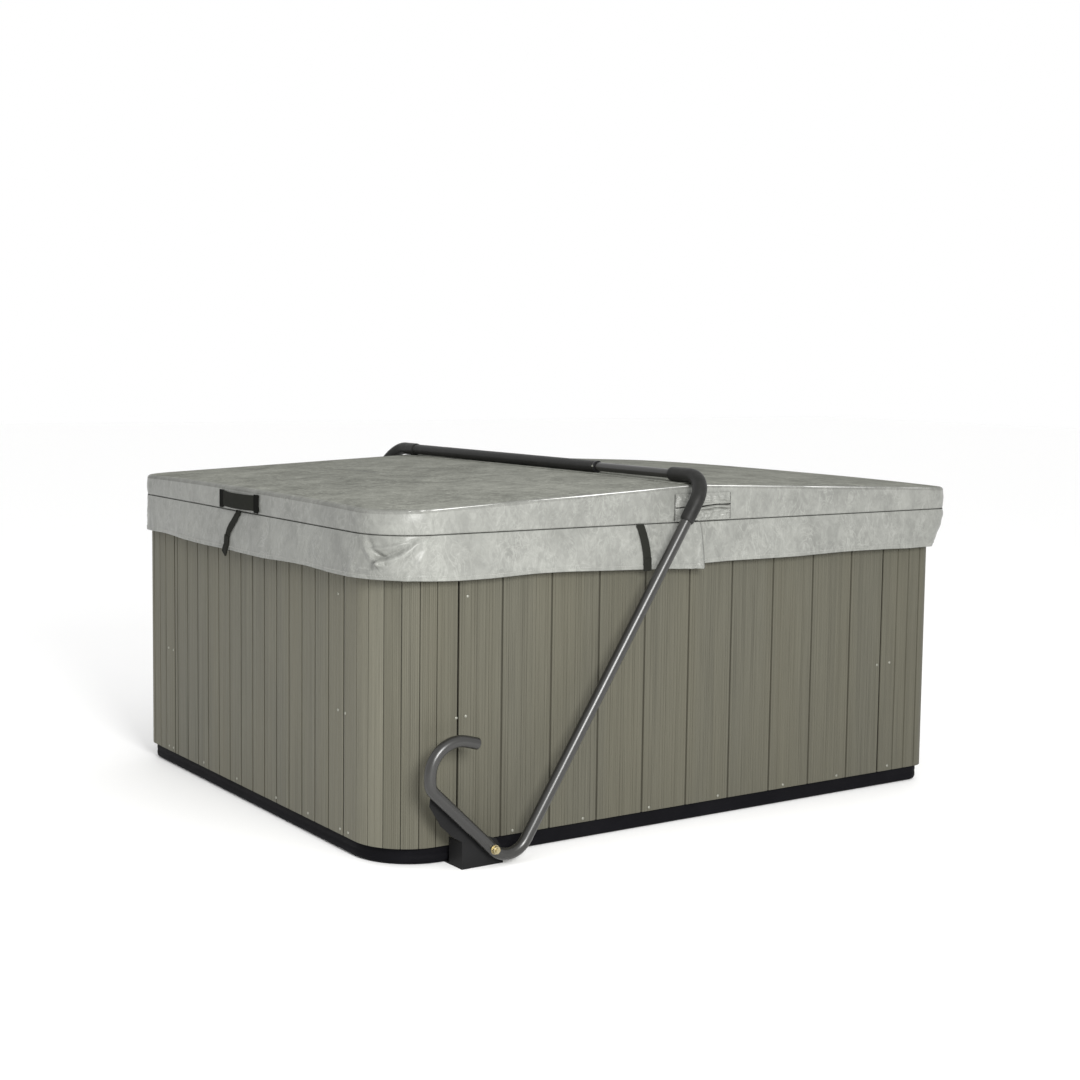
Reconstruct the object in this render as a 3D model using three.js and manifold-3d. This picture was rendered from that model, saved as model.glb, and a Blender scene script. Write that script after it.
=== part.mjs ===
// Covered spa: a rectangular hot tub with board cabinet, a two-half folding
// insulated vinyl cover, and an under-base swing lifter that carries the cover
// on a padded crossbar. Millimetres, +Z up. Origin: centre of the tub on the
// floor. +X runs along the long side, away from the lifter pivots; the front
// side is -Y. The cover folds along a line parallel to Y at X = 0.
import * as THREE from 'three';
import { mergeVertices } from 'three/addons/utils/BufferGeometryUtils.js';
import Module from 'manifold-3d';

const wasm = await Module();
wasm.setup();

// ---------------------------------------------------------------- dimensions
const CAB_L = 2055;        // cabinet, outside, along X
const CAB_W = 1653;        // cabinet, outside, along Y
const HX = CAB_L / 2;      // half length
const HY = CAB_W / 2;      // half width
const CAB_R = 165;         // cabinet corner radius at the front left
const CAB_R_TIGHT = 52;    // the other three corners are tighter
const BASE_H = 50;         // height of the moulded base pan
const BASE_INSET = 10;     // the pan stands inside the cabinet face
const BASE_R = 185;        // pan corner radius at the front left
const PANEL_T = 14;        // cabinet board thickness
const PANEL_TOP = 871;     // top edge of the cabinet boards
const RIM_Z = 902;         // top of the acrylic rim
const LIP_T = 29;          // depth of the rolled rim lip
const LIP_OUT = 8;         // rim lip stands proud of the cabinet
const GAP = 0.3;           // clearance kept between touching pieces

const SEAM_FX = 226.4;     // corner panel leg on the long sides, from the corner
const SEAM_FY = 233.3;     // corner panel leg on the short sides, from the corner
const BOARD = 165;         // board pitch of the cabinet
const GROOVE_W = 7;        // main groove width at the face
const GROOVE_D = 5;        // main groove depth
const BEAD_W = 3.4;        // half-pitch bead line
const BEAD_D = 1.4;
const FLUTE_STEP = 17.2;   // degrees between corner flutes

const COVER_Z = RIM_Z + 0.6;  // underside of the cover halves
const COVER_OUT_Y = 27;    // cover edge beyond the cabinet, long sides
const COVER_OUT_L = 23;    // cover edge beyond the cabinet, lifter end
const COVER_OUT_R = 51;    // cover edge beyond the cabinet, far end
const COVER_R_L = 155;     // cover corner radius at the front left
const COVER_R_BL = 100;    // cover corner radius at the back left
const COVER_R_R = 95;      // cover corner radius at the far end
const FOLD_GAP = 7;        // gap between the halves at the fold
const T_FOLD = 111;        // cover thickness at the fold
const T_END = 64;          // cover thickness at the lifter end
const T_END_R = 69;        // cover thickness at the far end
const VINYL = 2;           // jacket wall
const SKIRT_Z = 781;       // skirt hem height
const SKIRT_T = 3;

const ARM_Y = HY + 92.5;   // plane of the arm tubes (each side)
const TUBE_R = 16.5;       // 33 mm lifter tube
const TUBE_WALL = 1.8;
const PIVOT = [-748.3, 52.6];     // lifter pivot, X Z
const BAR = [-14.5, 1038];        // crossbar axis, X Z
const ARM_ANGLE = 57.5;           // long arm above the horizontal, degrees
const BEND_R = 69;                // lower bend radius
const ELBOW_R = 63;               // top elbow bend radius
const FOLD_AXIS = [0, 1037];      // cover fold axis, X Z

const CLR = {
  board: 0x78766a, pan: 0x26262a, shell: 0xd9dad6, steel: 0x4b4b49, gun: 0x6c6b68,
  vinyl: 0xa8a9a1, black: 0x2b2c29, foam: 0xf1f1ec, zinc: 0xb9aa82, galv: 0x9ba0a4,
};

// ------------------------------------------------------------------- helpers
const V3 = (x, y, z) => new THREE.Vector3(x, y, z);
const rad = THREE.MathUtils.degToRad;

function clean(geo) {
  const g = geo.index ? geo.clone() : geo.clone();
  g.deleteAttribute('normal');
  if (g.attributes.uv) g.deleteAttribute('uv');
  return mergeVertices(g, 1e-3);
}
function solid(geo) {
  const g = clean(geo);
  return new wasm.Manifold(new wasm.Mesh({
    numProp: 3,
    vertProperties: new Float32Array(g.attributes.position.array),
    triVerts: new Uint32Array(g.index.array),
  }));
}
function surface(man) {
  const m = man.getMesh();
  const g = new THREE.BufferGeometry();
  g.setAttribute('position', new THREE.BufferAttribute(new Float32Array(m.vertProperties), 3));
  g.setIndex(new THREE.BufferAttribute(new Uint32Array(m.triVerts), 1));
  return g;
}
const join = (...list) => surface(list.map((g) => solid(g)).reduce((a, b) => a.add(b)));
const cut = (a, ...list) => surface(list.map((g) => solid(g)).reduce((m, b) => m.subtract(b), solid(a)));

function box(x0, x1, y0, y1, z0, z1) {
  const g = new THREE.BoxGeometry(x1 - x0, y1 - y0, z1 - z0);
  g.translate((x0 + x1) / 2, (y0 + y1) / 2, (z0 + z1) / 2);
  return g;
}
// Counter-clockwise rounded rectangle; r = [x0y0, x1y0, x1y1, x0y1].
function roundRect(x0, x1, y0, y1, r, seg = 6) {
  const R = Array.isArray(r) ? r : [r, r, r, r];
  const c = [[x0 + R[0], y0 + R[0], 180, R[0]], [x1 - R[1], y0 + R[1], 270, R[1]],
    [x1 - R[2], y1 - R[2], 0, R[2]], [x0 + R[3], y1 - R[3], 90, R[3]]];
  const pts = [];
  for (const [cx, cy, a0, rr] of c) {
    if (rr < 0.01) { pts.push([cx, cy]); continue; }
    for (let i = 0; i <= seg; i++) {
      const a = rad(a0 + (90 * i) / seg);
      pts.push([cx + rr * Math.cos(a), cy + rr * Math.sin(a)]);
    }
  }
  return pts;
}
// Prism over a plan outline; the top height may slope with x.
function prism(pts, z0, zTop) {
  const top = typeof zTop === 'function' ? zTop : () => zTop;
  const shape = pts.map(([x, y]) => new THREE.Vector2(x, y));
  if (THREE.ShapeUtils.isClockWise(shape)) shape.reverse();
  const tris = THREE.ShapeUtils.triangulateShape(shape, []);
  const n = shape.length; const pos = []; const idx = [];
  for (const p of shape) pos.push(p.x, p.y, z0);
  for (const p of shape) pos.push(p.x, p.y, top(p.x));
  for (const [a, b, c] of tris) { idx.push(a, c, b); idx.push(a + n, b + n, c + n); }
  for (let i = 0; i < n; i++) {
    const j = (i + 1) % n;
    idx.push(i, j, j + n, i, j + n, i + n);
  }
  const g = new THREE.BufferGeometry();
  g.setAttribute('position', new THREE.Float32BufferAttribute(pos, 3));
  g.setIndex(idx);
  return g;
}
// Closed skin through a stack of rounded-rectangle rings with equal counts.
function ringStack(rings, seg = 5) {
  const pos = []; const idx = []; let n = 0;
  rings.forEach(({ z, hx, hy, r, cx = 0, cy = 0 }) => {
    const p = roundRect(cx - hx, cx + hx, cy - hy, cy + hy, r, seg);
    n = p.length;
    for (const [x, y] of p) pos.push(x, y, z);
  });
  const m = rings.length;
  for (let k = 0; k < m - 1; k++) {
    for (let i = 0; i < n; i++) {
      const j = (i + 1) % n;
      const a = k * n + i; const b = k * n + j; const c = (k + 1) * n + j; const d = (k + 1) * n + i;
      idx.push(a, b, c, a, c, d);
    }
  }
  const cap = (k, up) => {
    const { cx = 0, cy = 0, z } = rings[k];
    const id = pos.length / 3; pos.push(cx, cy, z);
    for (let i = 0; i < n; i++) {
      const j = (i + 1) % n;
      if (up) idx.push(id, k * n + i, k * n + j); else idx.push(id, k * n + j, k * n + i);
    }
  };
  cap(0, false); cap(m - 1, true);
  const g = new THREE.BufferGeometry();
  g.setAttribute('position', new THREE.Float32BufferAttribute(pos, 3));
  g.setIndex(idx);
  return g;
}
// A route given by its own stations, used as an extrude path.
class Route extends THREE.Curve {
  constructor(points) { super(); this.p = points; }
  getPoint(t, out = new THREE.Vector3()) {
    const f = t * (this.p.length - 1); const i = Math.min(Math.floor(f), this.p.length - 2);
    return out.copy(this.p[i]).lerp(this.p[i + 1], f - i);
  }
  getSpacedPoints() { return this.p.map((v) => v.clone()); }
  computeFrenetFrames() {
    const n = this.p.length; const T = []; const N = []; const B = [];
    for (let i = 0; i < n; i++) {
      const a = this.p[Math.max(i - 1, 0)]; const b = this.p[i]; const c = this.p[Math.min(i + 1, n - 1)];
      const u = V3(0, 0, 0); if (i > 0) u.add(b.clone().sub(a).normalize());
      if (i < n - 1) u.add(c.clone().sub(b).normalize());
      T.push(u.normalize());
    }
    let nrm = Math.abs(T[0].y) < 0.9 ? V3(0, 1, 0) : V3(1, 0, 0);
    for (let i = 0; i < n; i++) {
      nrm = nrm.clone().sub(T[i].clone().multiplyScalar(nrm.dot(T[i]))).normalize();
      N.push(nrm); B.push(T[i].clone().cross(nrm).normalize());
    }
    return { tangents: T, normals: N, binormals: B };
  }
}
function ringPts(r, sides) {
  const a = [];
  for (let i = 0; i < sides; i++) {
    const t = (2 * Math.PI * (i + 0.5)) / sides;
    a.push(new THREE.Vector2(r * Math.cos(t), r * Math.sin(t)));
  }
  return a;
}
function tube(points, rOut, rIn, sides = 12) {
  const s = new THREE.Shape(ringPts(rOut, sides));
  if (rIn > 0) s.holes.push(new THREE.Path(ringPts(rIn, sides).reverse()));
  return new THREE.ExtrudeGeometry(s, { steps: points.length - 1, bevelEnabled: false, extrudePath: new Route(points) });
}
// Cylinder along Y.
function rodY(x, z, r, y0, y1, sides = 16) {
  const g = new THREE.CylinderGeometry(r, r, Math.abs(y1 - y0), sides);
  g.translate(x, (y0 + y1) / 2, z);
  return g;
}
function mirrorY(geo) {
  const g = clean(geo);
  const p = g.attributes.position;
  for (let i = 0; i < p.count; i++) p.setY(i, -p.getY(i));
  const id = Array.from(g.index.array);
  for (let i = 0; i < id.length; i += 3) { const t = id[i + 1]; id[i + 1] = id[i + 2]; id[i + 2] = t; }
  g.setIndex(id);
  return g;
}
const product = new THREE.Group();
function add(parent, name, geo, color, roughness = 0.7, metalness = 0) {
  const g = clean(geo);
  g.computeVertexNormals();
  const mesh = new THREE.Mesh(g, new THREE.MeshStandardMaterial({ color, roughness, metalness }));
  mesh.name = name;
  parent.add(mesh);
}
const spa = new THREE.Group();
const lifter = new THREE.Group();
const coverL = new THREE.Group();
const coverR = new THREE.Group();
product.add(spa, lifter, coverL, coverR);

// ----------------------------------------------------------------- base pan
const BRK_X = [-829.6, -697.6];   // bracket plate, along X
const BRK_IN = HY - 300;          // how far the plate reaches under the pan
const panR = (d) => [BASE_R - d, CAB_R_TIGHT - d, CAB_R_TIGHT - d, CAB_R_TIGHT - d];
{
  const outer = ringStack([
    { z: 0, hx: HX - BASE_INSET - 9, hy: HY - BASE_INSET - 9, r: panR(9) },
    { z: 9, hx: HX - BASE_INSET, hy: HY - BASE_INSET, r: panR(0) },
    { z: BASE_H, hx: HX - BASE_INSET, hy: HY - BASE_INSET, r: panR(0) },
    { z: BASE_H, hx: HX - BASE_INSET - 34, hy: HY - BASE_INSET - 34, r: panR(34) },
    { z: 14, hx: HX - BASE_INSET - 34, hy: HY - BASE_INSET - 34, r: panR(34) },
  ], 8);
  const slot = (s) => box(BRK_X[0] - 4, BRK_X[1] + 4, s > 0 ? BRK_IN - 4 : -HY - 5, s > 0 ? HY + 5 : -BRK_IN + 4, -2, 4);
  add(spa, 'base_pan', cut(outer, slot(1), slot(-1)), CLR.pan, 0.75);
}

// ----------------------------------------------------------- cabinet panels
// Plan profile of a grooved board wall: face on v = 0, back on v = PANEL_T.
function boardProfile(u0, u1, grooves, beads) {
  const marks = [...grooves.map((u) => [u, GROOVE_W, GROOVE_D]), ...beads.map((u) => [u, BEAD_W, BEAD_D])]
    .filter(([u, w]) => u - w > u0 && u + w < u1).sort((a, b) => a[0] - b[0]);
  const p = [[u0, 0]];
  for (const [u, w, d] of marks) {
    if (d > 2) p.push([u - w / 2, 0], [u - w / 5, d], [u + w / 5, d], [u + w / 2, 0]);
    else p.push([u - w / 2, 0], [u, d], [u + w / 2, 0]);
  }
  p.push([u1, 0], [u1, PANEL_T], [u0, PANEL_T]);
  return p;
}
const longGrooves = []; const longBeads = []; const shortGrooves = []; const shortBeads = [];
for (let i = 0; i < 9; i++) longGrooves.push((2.226 + i - 6.228) * BOARD);
for (let i = 0; i < 10; i++) longBeads.push((1.726 + i - 6.228) * BOARD);
for (let j = 0; j < 7; j++) shortGrooves.push((2.0 + j - 5.0) * BOARD - 4);
for (let j = 0; j < 8; j++) shortBeads.push((1.5 + j - 5.0) * BOARD - 4);
{
  const pf = boardProfile(-HX + SEAM_FX + 1.5, HX - SEAM_FX - 1.5, longGrooves, longBeads);
  add(spa, 'cabinet_panel_front', prism(pf.map(([u, v]) => [u, -HY + v]), BASE_H + GAP, PANEL_TOP), CLR.board, 0.8);
  add(spa, 'cabinet_panel_back', prism(pf.map(([u, v]) => [-u, HY - v]), BASE_H + GAP, PANEL_TOP), CLR.board, 0.8);
  const ps = boardProfile(-HY + SEAM_FY + 1.5, HY - SEAM_FY - 1.5, shortGrooves, shortBeads);
  add(spa, 'cabinet_panel_left', prism(ps.map(([u, v]) => [-HX + v, -u]), BASE_H + GAP, PANEL_TOP), CLR.board, 0.8);
  add(spa, 'cabinet_panel_right', prism(ps.map(([u, v]) => [HX - v, u]), BASE_H + GAP, PANEL_TOP), CLR.board, 0.8);
}
// Fluted corner posts, drawn for the +X +Y corner and mirrored by sign. The
// flutes run round the wide corner, and along both legs of the tight ones.
{
  const postPlan = (R, legFlutes, arcFlutes) => {
    const out = [[HX, HY - SEAM_FY + 1.5]];
    const at = (a, d) => { const t = rad(a); return [HX - R + (R - d) * Math.cos(t), HY - R + (R - d) * Math.sin(t)]; };
    for (const y of legFlutes) out.push([HX, HY - y - 3.2], [HX - 4.5, HY - y - 1.3], [HX - 4.5, HY - y + 1.3], [HX, HY - y + 3.2]);
    arcFlutes.forEach((a, k) => {
      const w = (6.4 / R) * (90 / (Math.PI / 2));
      for (const [da, d] of [[-w / 2, 0], [-w / 5, 4.5], [w / 5, 4.5], [w / 2, 0]]) out.push(at(a + da, d));
      if (k < arcFlutes.length - 1) out.push(at((a + arcFlutes[k + 1]) / 2, 0));
      else if (legFlutes.length) out.push(at(68, 0), at(90, 0));
    });
    for (const x of [...legFlutes].reverse()) out.push([HX - x + 3.2, HY], [HX - x + 1.3, HY - 4.5], [HX - x - 1.3, HY - 4.5], [HX - x - 3.2, HY]);
    out.push([HX - SEAM_FX + 1.5, HY], [HX - SEAM_FX + 1.5, HY - PANEL_T]);
    for (let k = 6; k >= 0; k--) out.push(at(15 * k, PANEL_T));
    out.push([HX - PANEL_T, HY - SEAM_FY + 1.5]);
    return out;
  };
  const wide = postPlan(CAB_R, [], [0, 1, 2, 3, 4, 5].map((k) => 2 + FLUTE_STEP * k));
  const tight = postPlan(CAB_R_TIGHT, [159.4, 109.5, 60.3], [45]);
  const i0 = tight.findIndex(([x, y]) => y > HY - 60.3 + 3.1);
  tight.splice(i0 + 1, 0, [HX, HY - CAB_R_TIGHT], [HX - CAB_R_TIGHT + CAB_R_TIGHT * Math.cos(rad(22)), HY - CAB_R_TIGHT + CAB_R_TIGHT * Math.sin(rad(22))]);
  for (const [name, sx, sy, plan] of [['corner_post_front_left', -1, -1, wide], ['corner_post_front_right', 1, -1, tight],
    ['corner_post_back_right', 1, 1, tight], ['corner_post_back_left', -1, 1, tight]]) {
    add(spa, name, prism(plan.map(([x, y]) => [sx * x, sy * y]), BASE_H + GAP, PANEL_TOP), CLR.board, 0.8);
  }
}

// -------------------------------------------------------------- acrylic shell
const ring = (z, ix, iy, r, cx = 0, cy = 0) => ({ z, hx: HX - ix, hy: HY - iy, r, cx, cy });
{
  const L = LIP_OUT; const z0 = RIM_Z - LIP_T;
  const lip = (r) => [r, r - 113, r - 113, r - 113];
  const rings = [
    // underside of the foot well, up the outside of the tub
    ring(86, 560, 470, 120, 30, 0), ring(98, 545, 455, 130, 30, 0), ring(436, 502, 412, 150, 30, 0),
    ring(446, 190, 190, 150), ring(470, 172, 172, 165), ring(846, 118, 118, 190),
    ring(z0 + 10, 100, 100, 195), ring(z0 + 10, 16, 16, lip(160)), ring(z0, 8, 8, lip(165)), ring(z0, -L + 4, -L + 4, lip(171)),
    // rolled lip, rim, and down the inside
    ring(z0 + 5, -L, -L, lip(173)), ring(RIM_Z - 12, -L, -L, lip(173)), ring(RIM_Z - 3.5, -L + 3.5, -L + 3.5, lip(170)), ring(RIM_Z, -L + 12, -L + 12, lip(162)),
    ring(RIM_Z, 104, 104, 205), ring(RIM_Z - 3.5, 115, 115, 200), ring(RIM_Z - 14, 122, 122, 198), ring(846, 126, 126, 196),
    ring(486, 180, 180, 170), ring(464, 190, 190, 165), ring(456, 206, 206, 155),
    ring(456, 496, 406, 150, 30, 0), ring(452, 507, 417, 146, 30, 0), ring(440, 512, 422, 144, 30, 0),
    ring(112, 556, 466, 128, 30, 0), ring(100, 566, 476, 120, 30, 0), ring(96, 584, 494, 110, 30, 0),
  ];
  const recess = prism(roundRect(-124, 24, -HY + 30, -HY + 90, 20, 4), RIM_Z - 8, RIM_Z + 5);
  add(spa, 'spa_shell', cut(ringStack(rings, 6), recess), CLR.shell, 0.25);
}
// Fittings on the rim and in the foot well.
{
  const tc = roundRect(-123.5, 23.5, -HY + 30.5, -HY + 89.5, 19.5, 4);
  add(spa, 'topside_control', prism(tc, RIM_Z - 8 + GAP, RIM_Z - 0.5), CLR.black, 0.4);
  const hr = (sx) => {
    const g = prism(roundRect(-150, 150, -16, 16, 14, 4), 0, 90);
    g.rotateX(rad(-8)); g.rotateZ(rad(90));
    g.translate(sx * (HX - 158), 0, 760);
    return g;
  };
  add(spa, 'headrest_left', hr(-1), CLR.black, 0.8);
  add(spa, 'headrest_right', (() => { const g = prism(roundRect(-150, 150, -16, 16, 14, 4), 0, 90); g.rotateX(rad(8)); g.rotateZ(rad(90)); g.translate(HX - 158, 0, 760); return g; })(), CLR.black, 0.8);
  const drain = new THREE.CylinderGeometry(60, 70, 14, 20);
  drain.rotateX(Math.PI / 2); drain.translate(30, 0, 96 + 7 + GAP);
  add(spa, 'suction_cover', drain, CLR.black, 0.5);
}

// ----------------------------------------------- structure inside the cabinet
{
  const t = 38; const x0 = -HX + PANEL_T + 2; const x1 = HX - PANEL_T - 2; const y0 = -HY + PANEL_T + 2; const y1 = HY - PANEL_T - 2;
  const zb = BASE_H + GAP; const zt = 866; const bars = [];
  const c = 152;
  for (const z of [zb, zt - t]) {
    bars.push(box(x0, x0 + t, y0 + c, y1 - c, z, z + t), box(x1 - t, x1, y0 + c, y1 - c, z, z + t));
    bars.push(box(x0 + c, x1 - c, y0, y0 + t, z, z + t), box(x0 + c, x1 - c, y1 - t, y1, z, z + t));
    for (const [sx, sy] of [[-1, -1], [1, -1], [1, 1], [-1, 1]]) {
      const px = sx < 0 ? x0 : x1; const py = sy < 0 ? y0 : y1;
      const a = [px, py - sy * (c + 30)]; const b = [px - sx * (c + 30), py];
      const ai = [px - sx * t, py - sy * (c + 30)]; const bi = [px - sx * (c + 30), py - sy * t];
      bars.push(prism([a, b, bi, ai], z, z + t));
    }
  }
  for (const sx of [-1, 1]) for (const f of [-1, 1]) {
    const px = sx < 0 ? x0 : x1 - t; const y = f * (HY - 230);
    bars.push(box(px, px + t, y - t / 2, y + t / 2, zb, zt));
    const py = f < 0 ? y0 : y1 - t; const x = sx * (HX - 230);
    bars.push(box(x - t / 2, x + t / 2, py, py + t, zb, zt));
  }
  add(spa, 'support_frame', join(...bars), CLR.galv, 0.5, 0.6);
}
// Pump, control pack and heater beside the foot well at the lifter end.
{
  const px = -790;
  const motor = new THREE.CylinderGeometry(78, 78, 270, 20); motor.translate(px, 60, 170);
  const foot = box(px - 60, px + 60, -40, 160, BASE_H + GAP + 0.2, 110);
  add(spa, 'pump_motor', join(motor, foot), 0x2f3133, 0.5, 0.3);
  const volute = new THREE.CylinderGeometry(96, 96, 84, 20); volute.translate(px, -118, 170);
  const port = new THREE.CylinderGeometry(30, 30, 130, 14); port.rotateX(Math.PI / 2); port.translate(px + 52, -118, 280);
  const inlet = new THREE.CylinderGeometry(30, 30, 70, 14); inlet.translate(px, -190, 170);
  add(spa, 'pump_volute', join(volute, port, inlet), 0x3a3b3c, 0.6);
  add(spa, 'control_pack', prism(roundRect(-870, -640, 270, 420, 16, 3), 110, 400), 0x3c3f42, 0.5, 0.2);
  const heat = new THREE.CylinderGeometry(32, 32, 360, 16); heat.translate(-600, 200, 360);
  add(spa, 'heater_tube', heat, 0xb8bbbe, 0.3, 0.8);
}

// ----------------------------------------------------------- lifter brackets
const plateY = -ARM_Y + TUBE_R + 3.2;      // front face of the bracket plate, front side
{
  const f = plateY; const t = 3.5; const [bx0, bx1] = BRK_X;
  // Upright plate with the leg rest, in X Z, extruded through the plate thickness.
  const D = 165; const X = (x) => (x - 6.228) * D;
  const prof = [[bx0, 0], [bx1, 0], [bx1, 34], [bx1 - 22, 70], [X(1.62), 86], [X(0.70), 212], [X(0.60), 208], [X(0.585), 186], [X(0.80), 128], [X(1.03), 92], [bx0, 76]];
  const plate = prism(prof, 0, t); plate.rotateX(Math.PI / 2); plate.translate(0, f + t, 0);
  const base = box(bx0, bx1, f + 0.5, -BRK_IN, 0, t);
  const side = box(bx0, bx0 + t, f + 0.5, -HY - 6, 0, 74);
  const hole = rodY(PIVOT[0], PIVOT[1], 6.6, f - 5, f + t + 5);
  const br = cut(join(plate, base, side), hole);
  add(spa, 'bracket_front', br, CLR.pan, 0.5, 0.5);
  add(spa, 'bracket_back', mirrorY(br), CLR.pan, 0.5, 0.5);
  // Pivot bolt: head behind the plate, shank through the tube, nut outside.
  const yNut = -ARM_Y - TUBE_R - 3.2;
  const L = (f + t + GAP) - (yNut - 14);
  const bolt = new THREE.LatheGeometry([[0, 0], [12.5, 0], [12.5, 6.5], [6, 6.5], [6, 6.5 + L], [0, 6.5 + L]].map(([r, h]) => new THREE.Vector2(r, h)), 16);
  bolt.rotateX(Math.PI); bolt.translate(PIVOT[0], f + t + GAP + 6.5, PIVOT[1]);
  add(spa, 'pivot_bolt_front', bolt, CLR.zinc, 0.35, 0.9);
  add(spa, 'pivot_bolt_back', mirrorY(bolt), CLR.zinc, 0.35, 0.9);
  const hex = new THREE.Shape([...Array(6).keys()].map((k) => new THREE.Vector2(11.6 * Math.cos(rad(60 * k)), 11.6 * Math.sin(rad(60 * k)))));
  hex.holes.push(new THREE.Path(ringPts(6.5, 16).reverse()));
  const nut = new THREE.ExtrudeGeometry(hex, { depth: 9.5, bevelEnabled: false });
  nut.rotateX(Math.PI / 2); nut.translate(PIVOT[0], yNut, PIVOT[1]);
  add(spa, 'pivot_nut_front', nut, CLR.zinc, 0.35, 0.9);
  add(spa, 'pivot_nut_back', mirrorY(nut), CLR.zinc, 0.35, 0.9);
}

// ------------------------------------------------------------- swing lifter
const u = [Math.cos(rad(ARM_ANGLE)), Math.sin(rad(ARM_ANGLE))];
const legDir = [Math.cos(rad(136.2)), Math.sin(rad(136.2))];   // pivot towards the hook
// Corner where leg line and arm line meet, then the bend centre.
const armP = BAR;
const det = (a, b) => a[0] * b[1] - a[1] * b[0];
const rel = [armP[0] - PIVOT[0], armP[1] - PIVOT[1]];
const s = det(rel, u) / det(legDir, u);
const corner = [PIVOT[0] + s * legDir[0], PIVOT[1] + s * legDir[1]];
const bis = (() => { const b = [legDir[0] + u[0], legDir[1] + u[1]]; const n = Math.hypot(...b); return [b[0] / n, b[1] / n]; })();
const half = Math.acos(legDir[0] * bis[0] + legDir[1] * bis[1]);
const bc = [corner[0] + (bis[0] * BEND_R) / Math.sin(half), corner[1] + (bis[1] * BEND_R) / Math.sin(half)];
const tanLen = BEND_R / Math.tan(half);
const armStart = [corner[0] + u[0] * (tanLen + 12), corner[1] + u[1] * (tanLen + 12)];
const legEnd = [corner[0] + legDir[0] * tanLen, corner[1] + legDir[1] * tanLen];
const P3 = (p) => V3(p[0], -ARM_Y, p[1]);
{
  // Hook: open end, top arc, short upright, small bend, straight leg, lower bend.
  const c1 = [-856, 271.4]; const r1 = 86.6; const r2 = 36.3;
  const xv = c1[0] - r1;
  const zAt = (x) => PIVOT[1] + ((x - PIVOT[0]) * legDir[1]) / legDir[0];
  const turn = 136.2 - 90;
  const ex = xv + r2 - r2 * Math.cos(rad(turn)); const c2 = [xv + r2, zAt(ex) + r2 * Math.sin(rad(turn))];
  const pts = [];
  const tEnd = rad(75);
  const e1 = [c1[0] + r1 * Math.cos(tEnd), c1[1] + r1 * Math.sin(tEnd)];
  pts.push([e1[0] + 47 * Math.sin(tEnd), e1[1] - 47 * Math.cos(tEnd)]);
  for (let a = 75; a <= 180.01; a += 15) pts.push([c1[0] + r1 * Math.cos(rad(a)), c1[1] + r1 * Math.sin(rad(a))]);
  for (let i = 0; i <= 4; i++) { const a = 180 + (turn * i) / 4; pts.push([c2[0] + r2 * Math.cos(rad(a)), c2[1] + r2 * Math.sin(rad(a))]); }
  pts.push([PIVOT[0] + legDir[0] * 40, PIVOT[1] + legDir[1] * 40]);
  const a0 = Math.atan2(legEnd[1] - bc[1], legEnd[0] - bc[0]);
  const sweep = Math.PI - 2 * half;
  for (let i = 0; i <= 7; i++) pts.push([bc[0] + BEND_R * Math.cos(a0 + (sweep * i) / 7), bc[1] + BEND_R * Math.sin(a0 + (sweep * i) / 7)]);
  pts.push([armStart[0] - u[0] * GAP, armStart[1] - u[1] * GAP]);
  const hook = cut(tube(pts.map(P3), TUBE_R, TUBE_R - TUBE_WALL, 12), rodY(PIVOT[0], PIVOT[1], 6.7, -ARM_Y - 30, -ARM_Y + 30));
  add(lifter, 'hook_leg_front', hook, CLR.gun, 0.3, 0.8);
  add(lifter, 'hook_leg_back', mirrorY(hook), CLR.gun, 0.3, 0.8);
  // Plug in the open end of the hook.
  const d = [Math.sin(tEnd), -Math.cos(tEnd)];
  const q = pts[0];
  const plug = tube([[q[0] - d[0] * 18, q[1] - d[1] * 18], [q[0] - d[0] * 1.5, q[1] - d[1] * 1.5]].map(P3), TUBE_R - TUBE_WALL - GAP, 0, 12);
  add(lifter, 'hook_plug_front', plug, CLR.black, 0.8);
  add(lifter, 'hook_plug_back', mirrorY(plug), CLR.black, 0.8);
}
const bendStart = [BAR[0] - u[0] * ELBOW_R, BAR[1] - u[1] * ELBOW_R];
const armTop = [BAR[0] - u[0] * (ELBOW_R + 70), BAR[1] - u[1] * (ELBOW_R + 70)];
{
  const arm = tube([P3(armStart), P3([(armStart[0] + armTop[0]) / 2, (armStart[1] + armTop[1]) / 2]), P3(armTop)], TUBE_R, TUBE_R - TUBE_WALL, 12);
  add(lifter, 'arm_tube_front', arm, CLR.gun, 0.3, 0.8);
  add(lifter, 'arm_tube_back', mirrorY(arm), CLR.gun, 0.3, 0.8);
}
// Elbow route in the plane of the arm and the crossbar.
function elbowRoute(before, after, n = 7) {
  const pts = [];
  pts.push(V3(bendStart[0] - u[0] * before, -ARM_Y, bendStart[1] - u[1] * before));
  for (let i = 0; i <= n; i++) {
    const a = (Math.PI / 2) * (i / n);
    const along = ELBOW_R * Math.sin(a); const side = ELBOW_R * (1 - Math.cos(a));
    pts.push(V3(bendStart[0] + u[0] * along, -ARM_Y + side, bendStart[1] + u[1] * along));
  }
  pts.push(V3(BAR[0], -ARM_Y + ELBOW_R + after, BAR[1]));
  return pts;
}
const ELB_END = 95;                         // straight part of the elbow tube on the bar side
const yElbow = -ARM_Y + ELBOW_R + ELB_END;
{
  const el = tube(elbowRoute(70 - GAP, ELB_END), TUBE_R, TUBE_R - TUBE_WALL, 12);
  add(lifter, 'elbow_tube_front', el, CLR.gun, 0.3, 0.8);
  add(lifter, 'elbow_tube_back', mirrorY(el), CLR.gun, 0.3, 0.8);
  const sl = tube(elbowRoute(100, 108), 21.5, TUBE_R + 0.6, 12);
  add(lifter, 'elbow_sleeve_front', sl, CLR.black, 0.85);
  add(lifter, 'elbow_sleeve_back', mirrorY(sl), CLR.black, 0.85);
}
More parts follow.
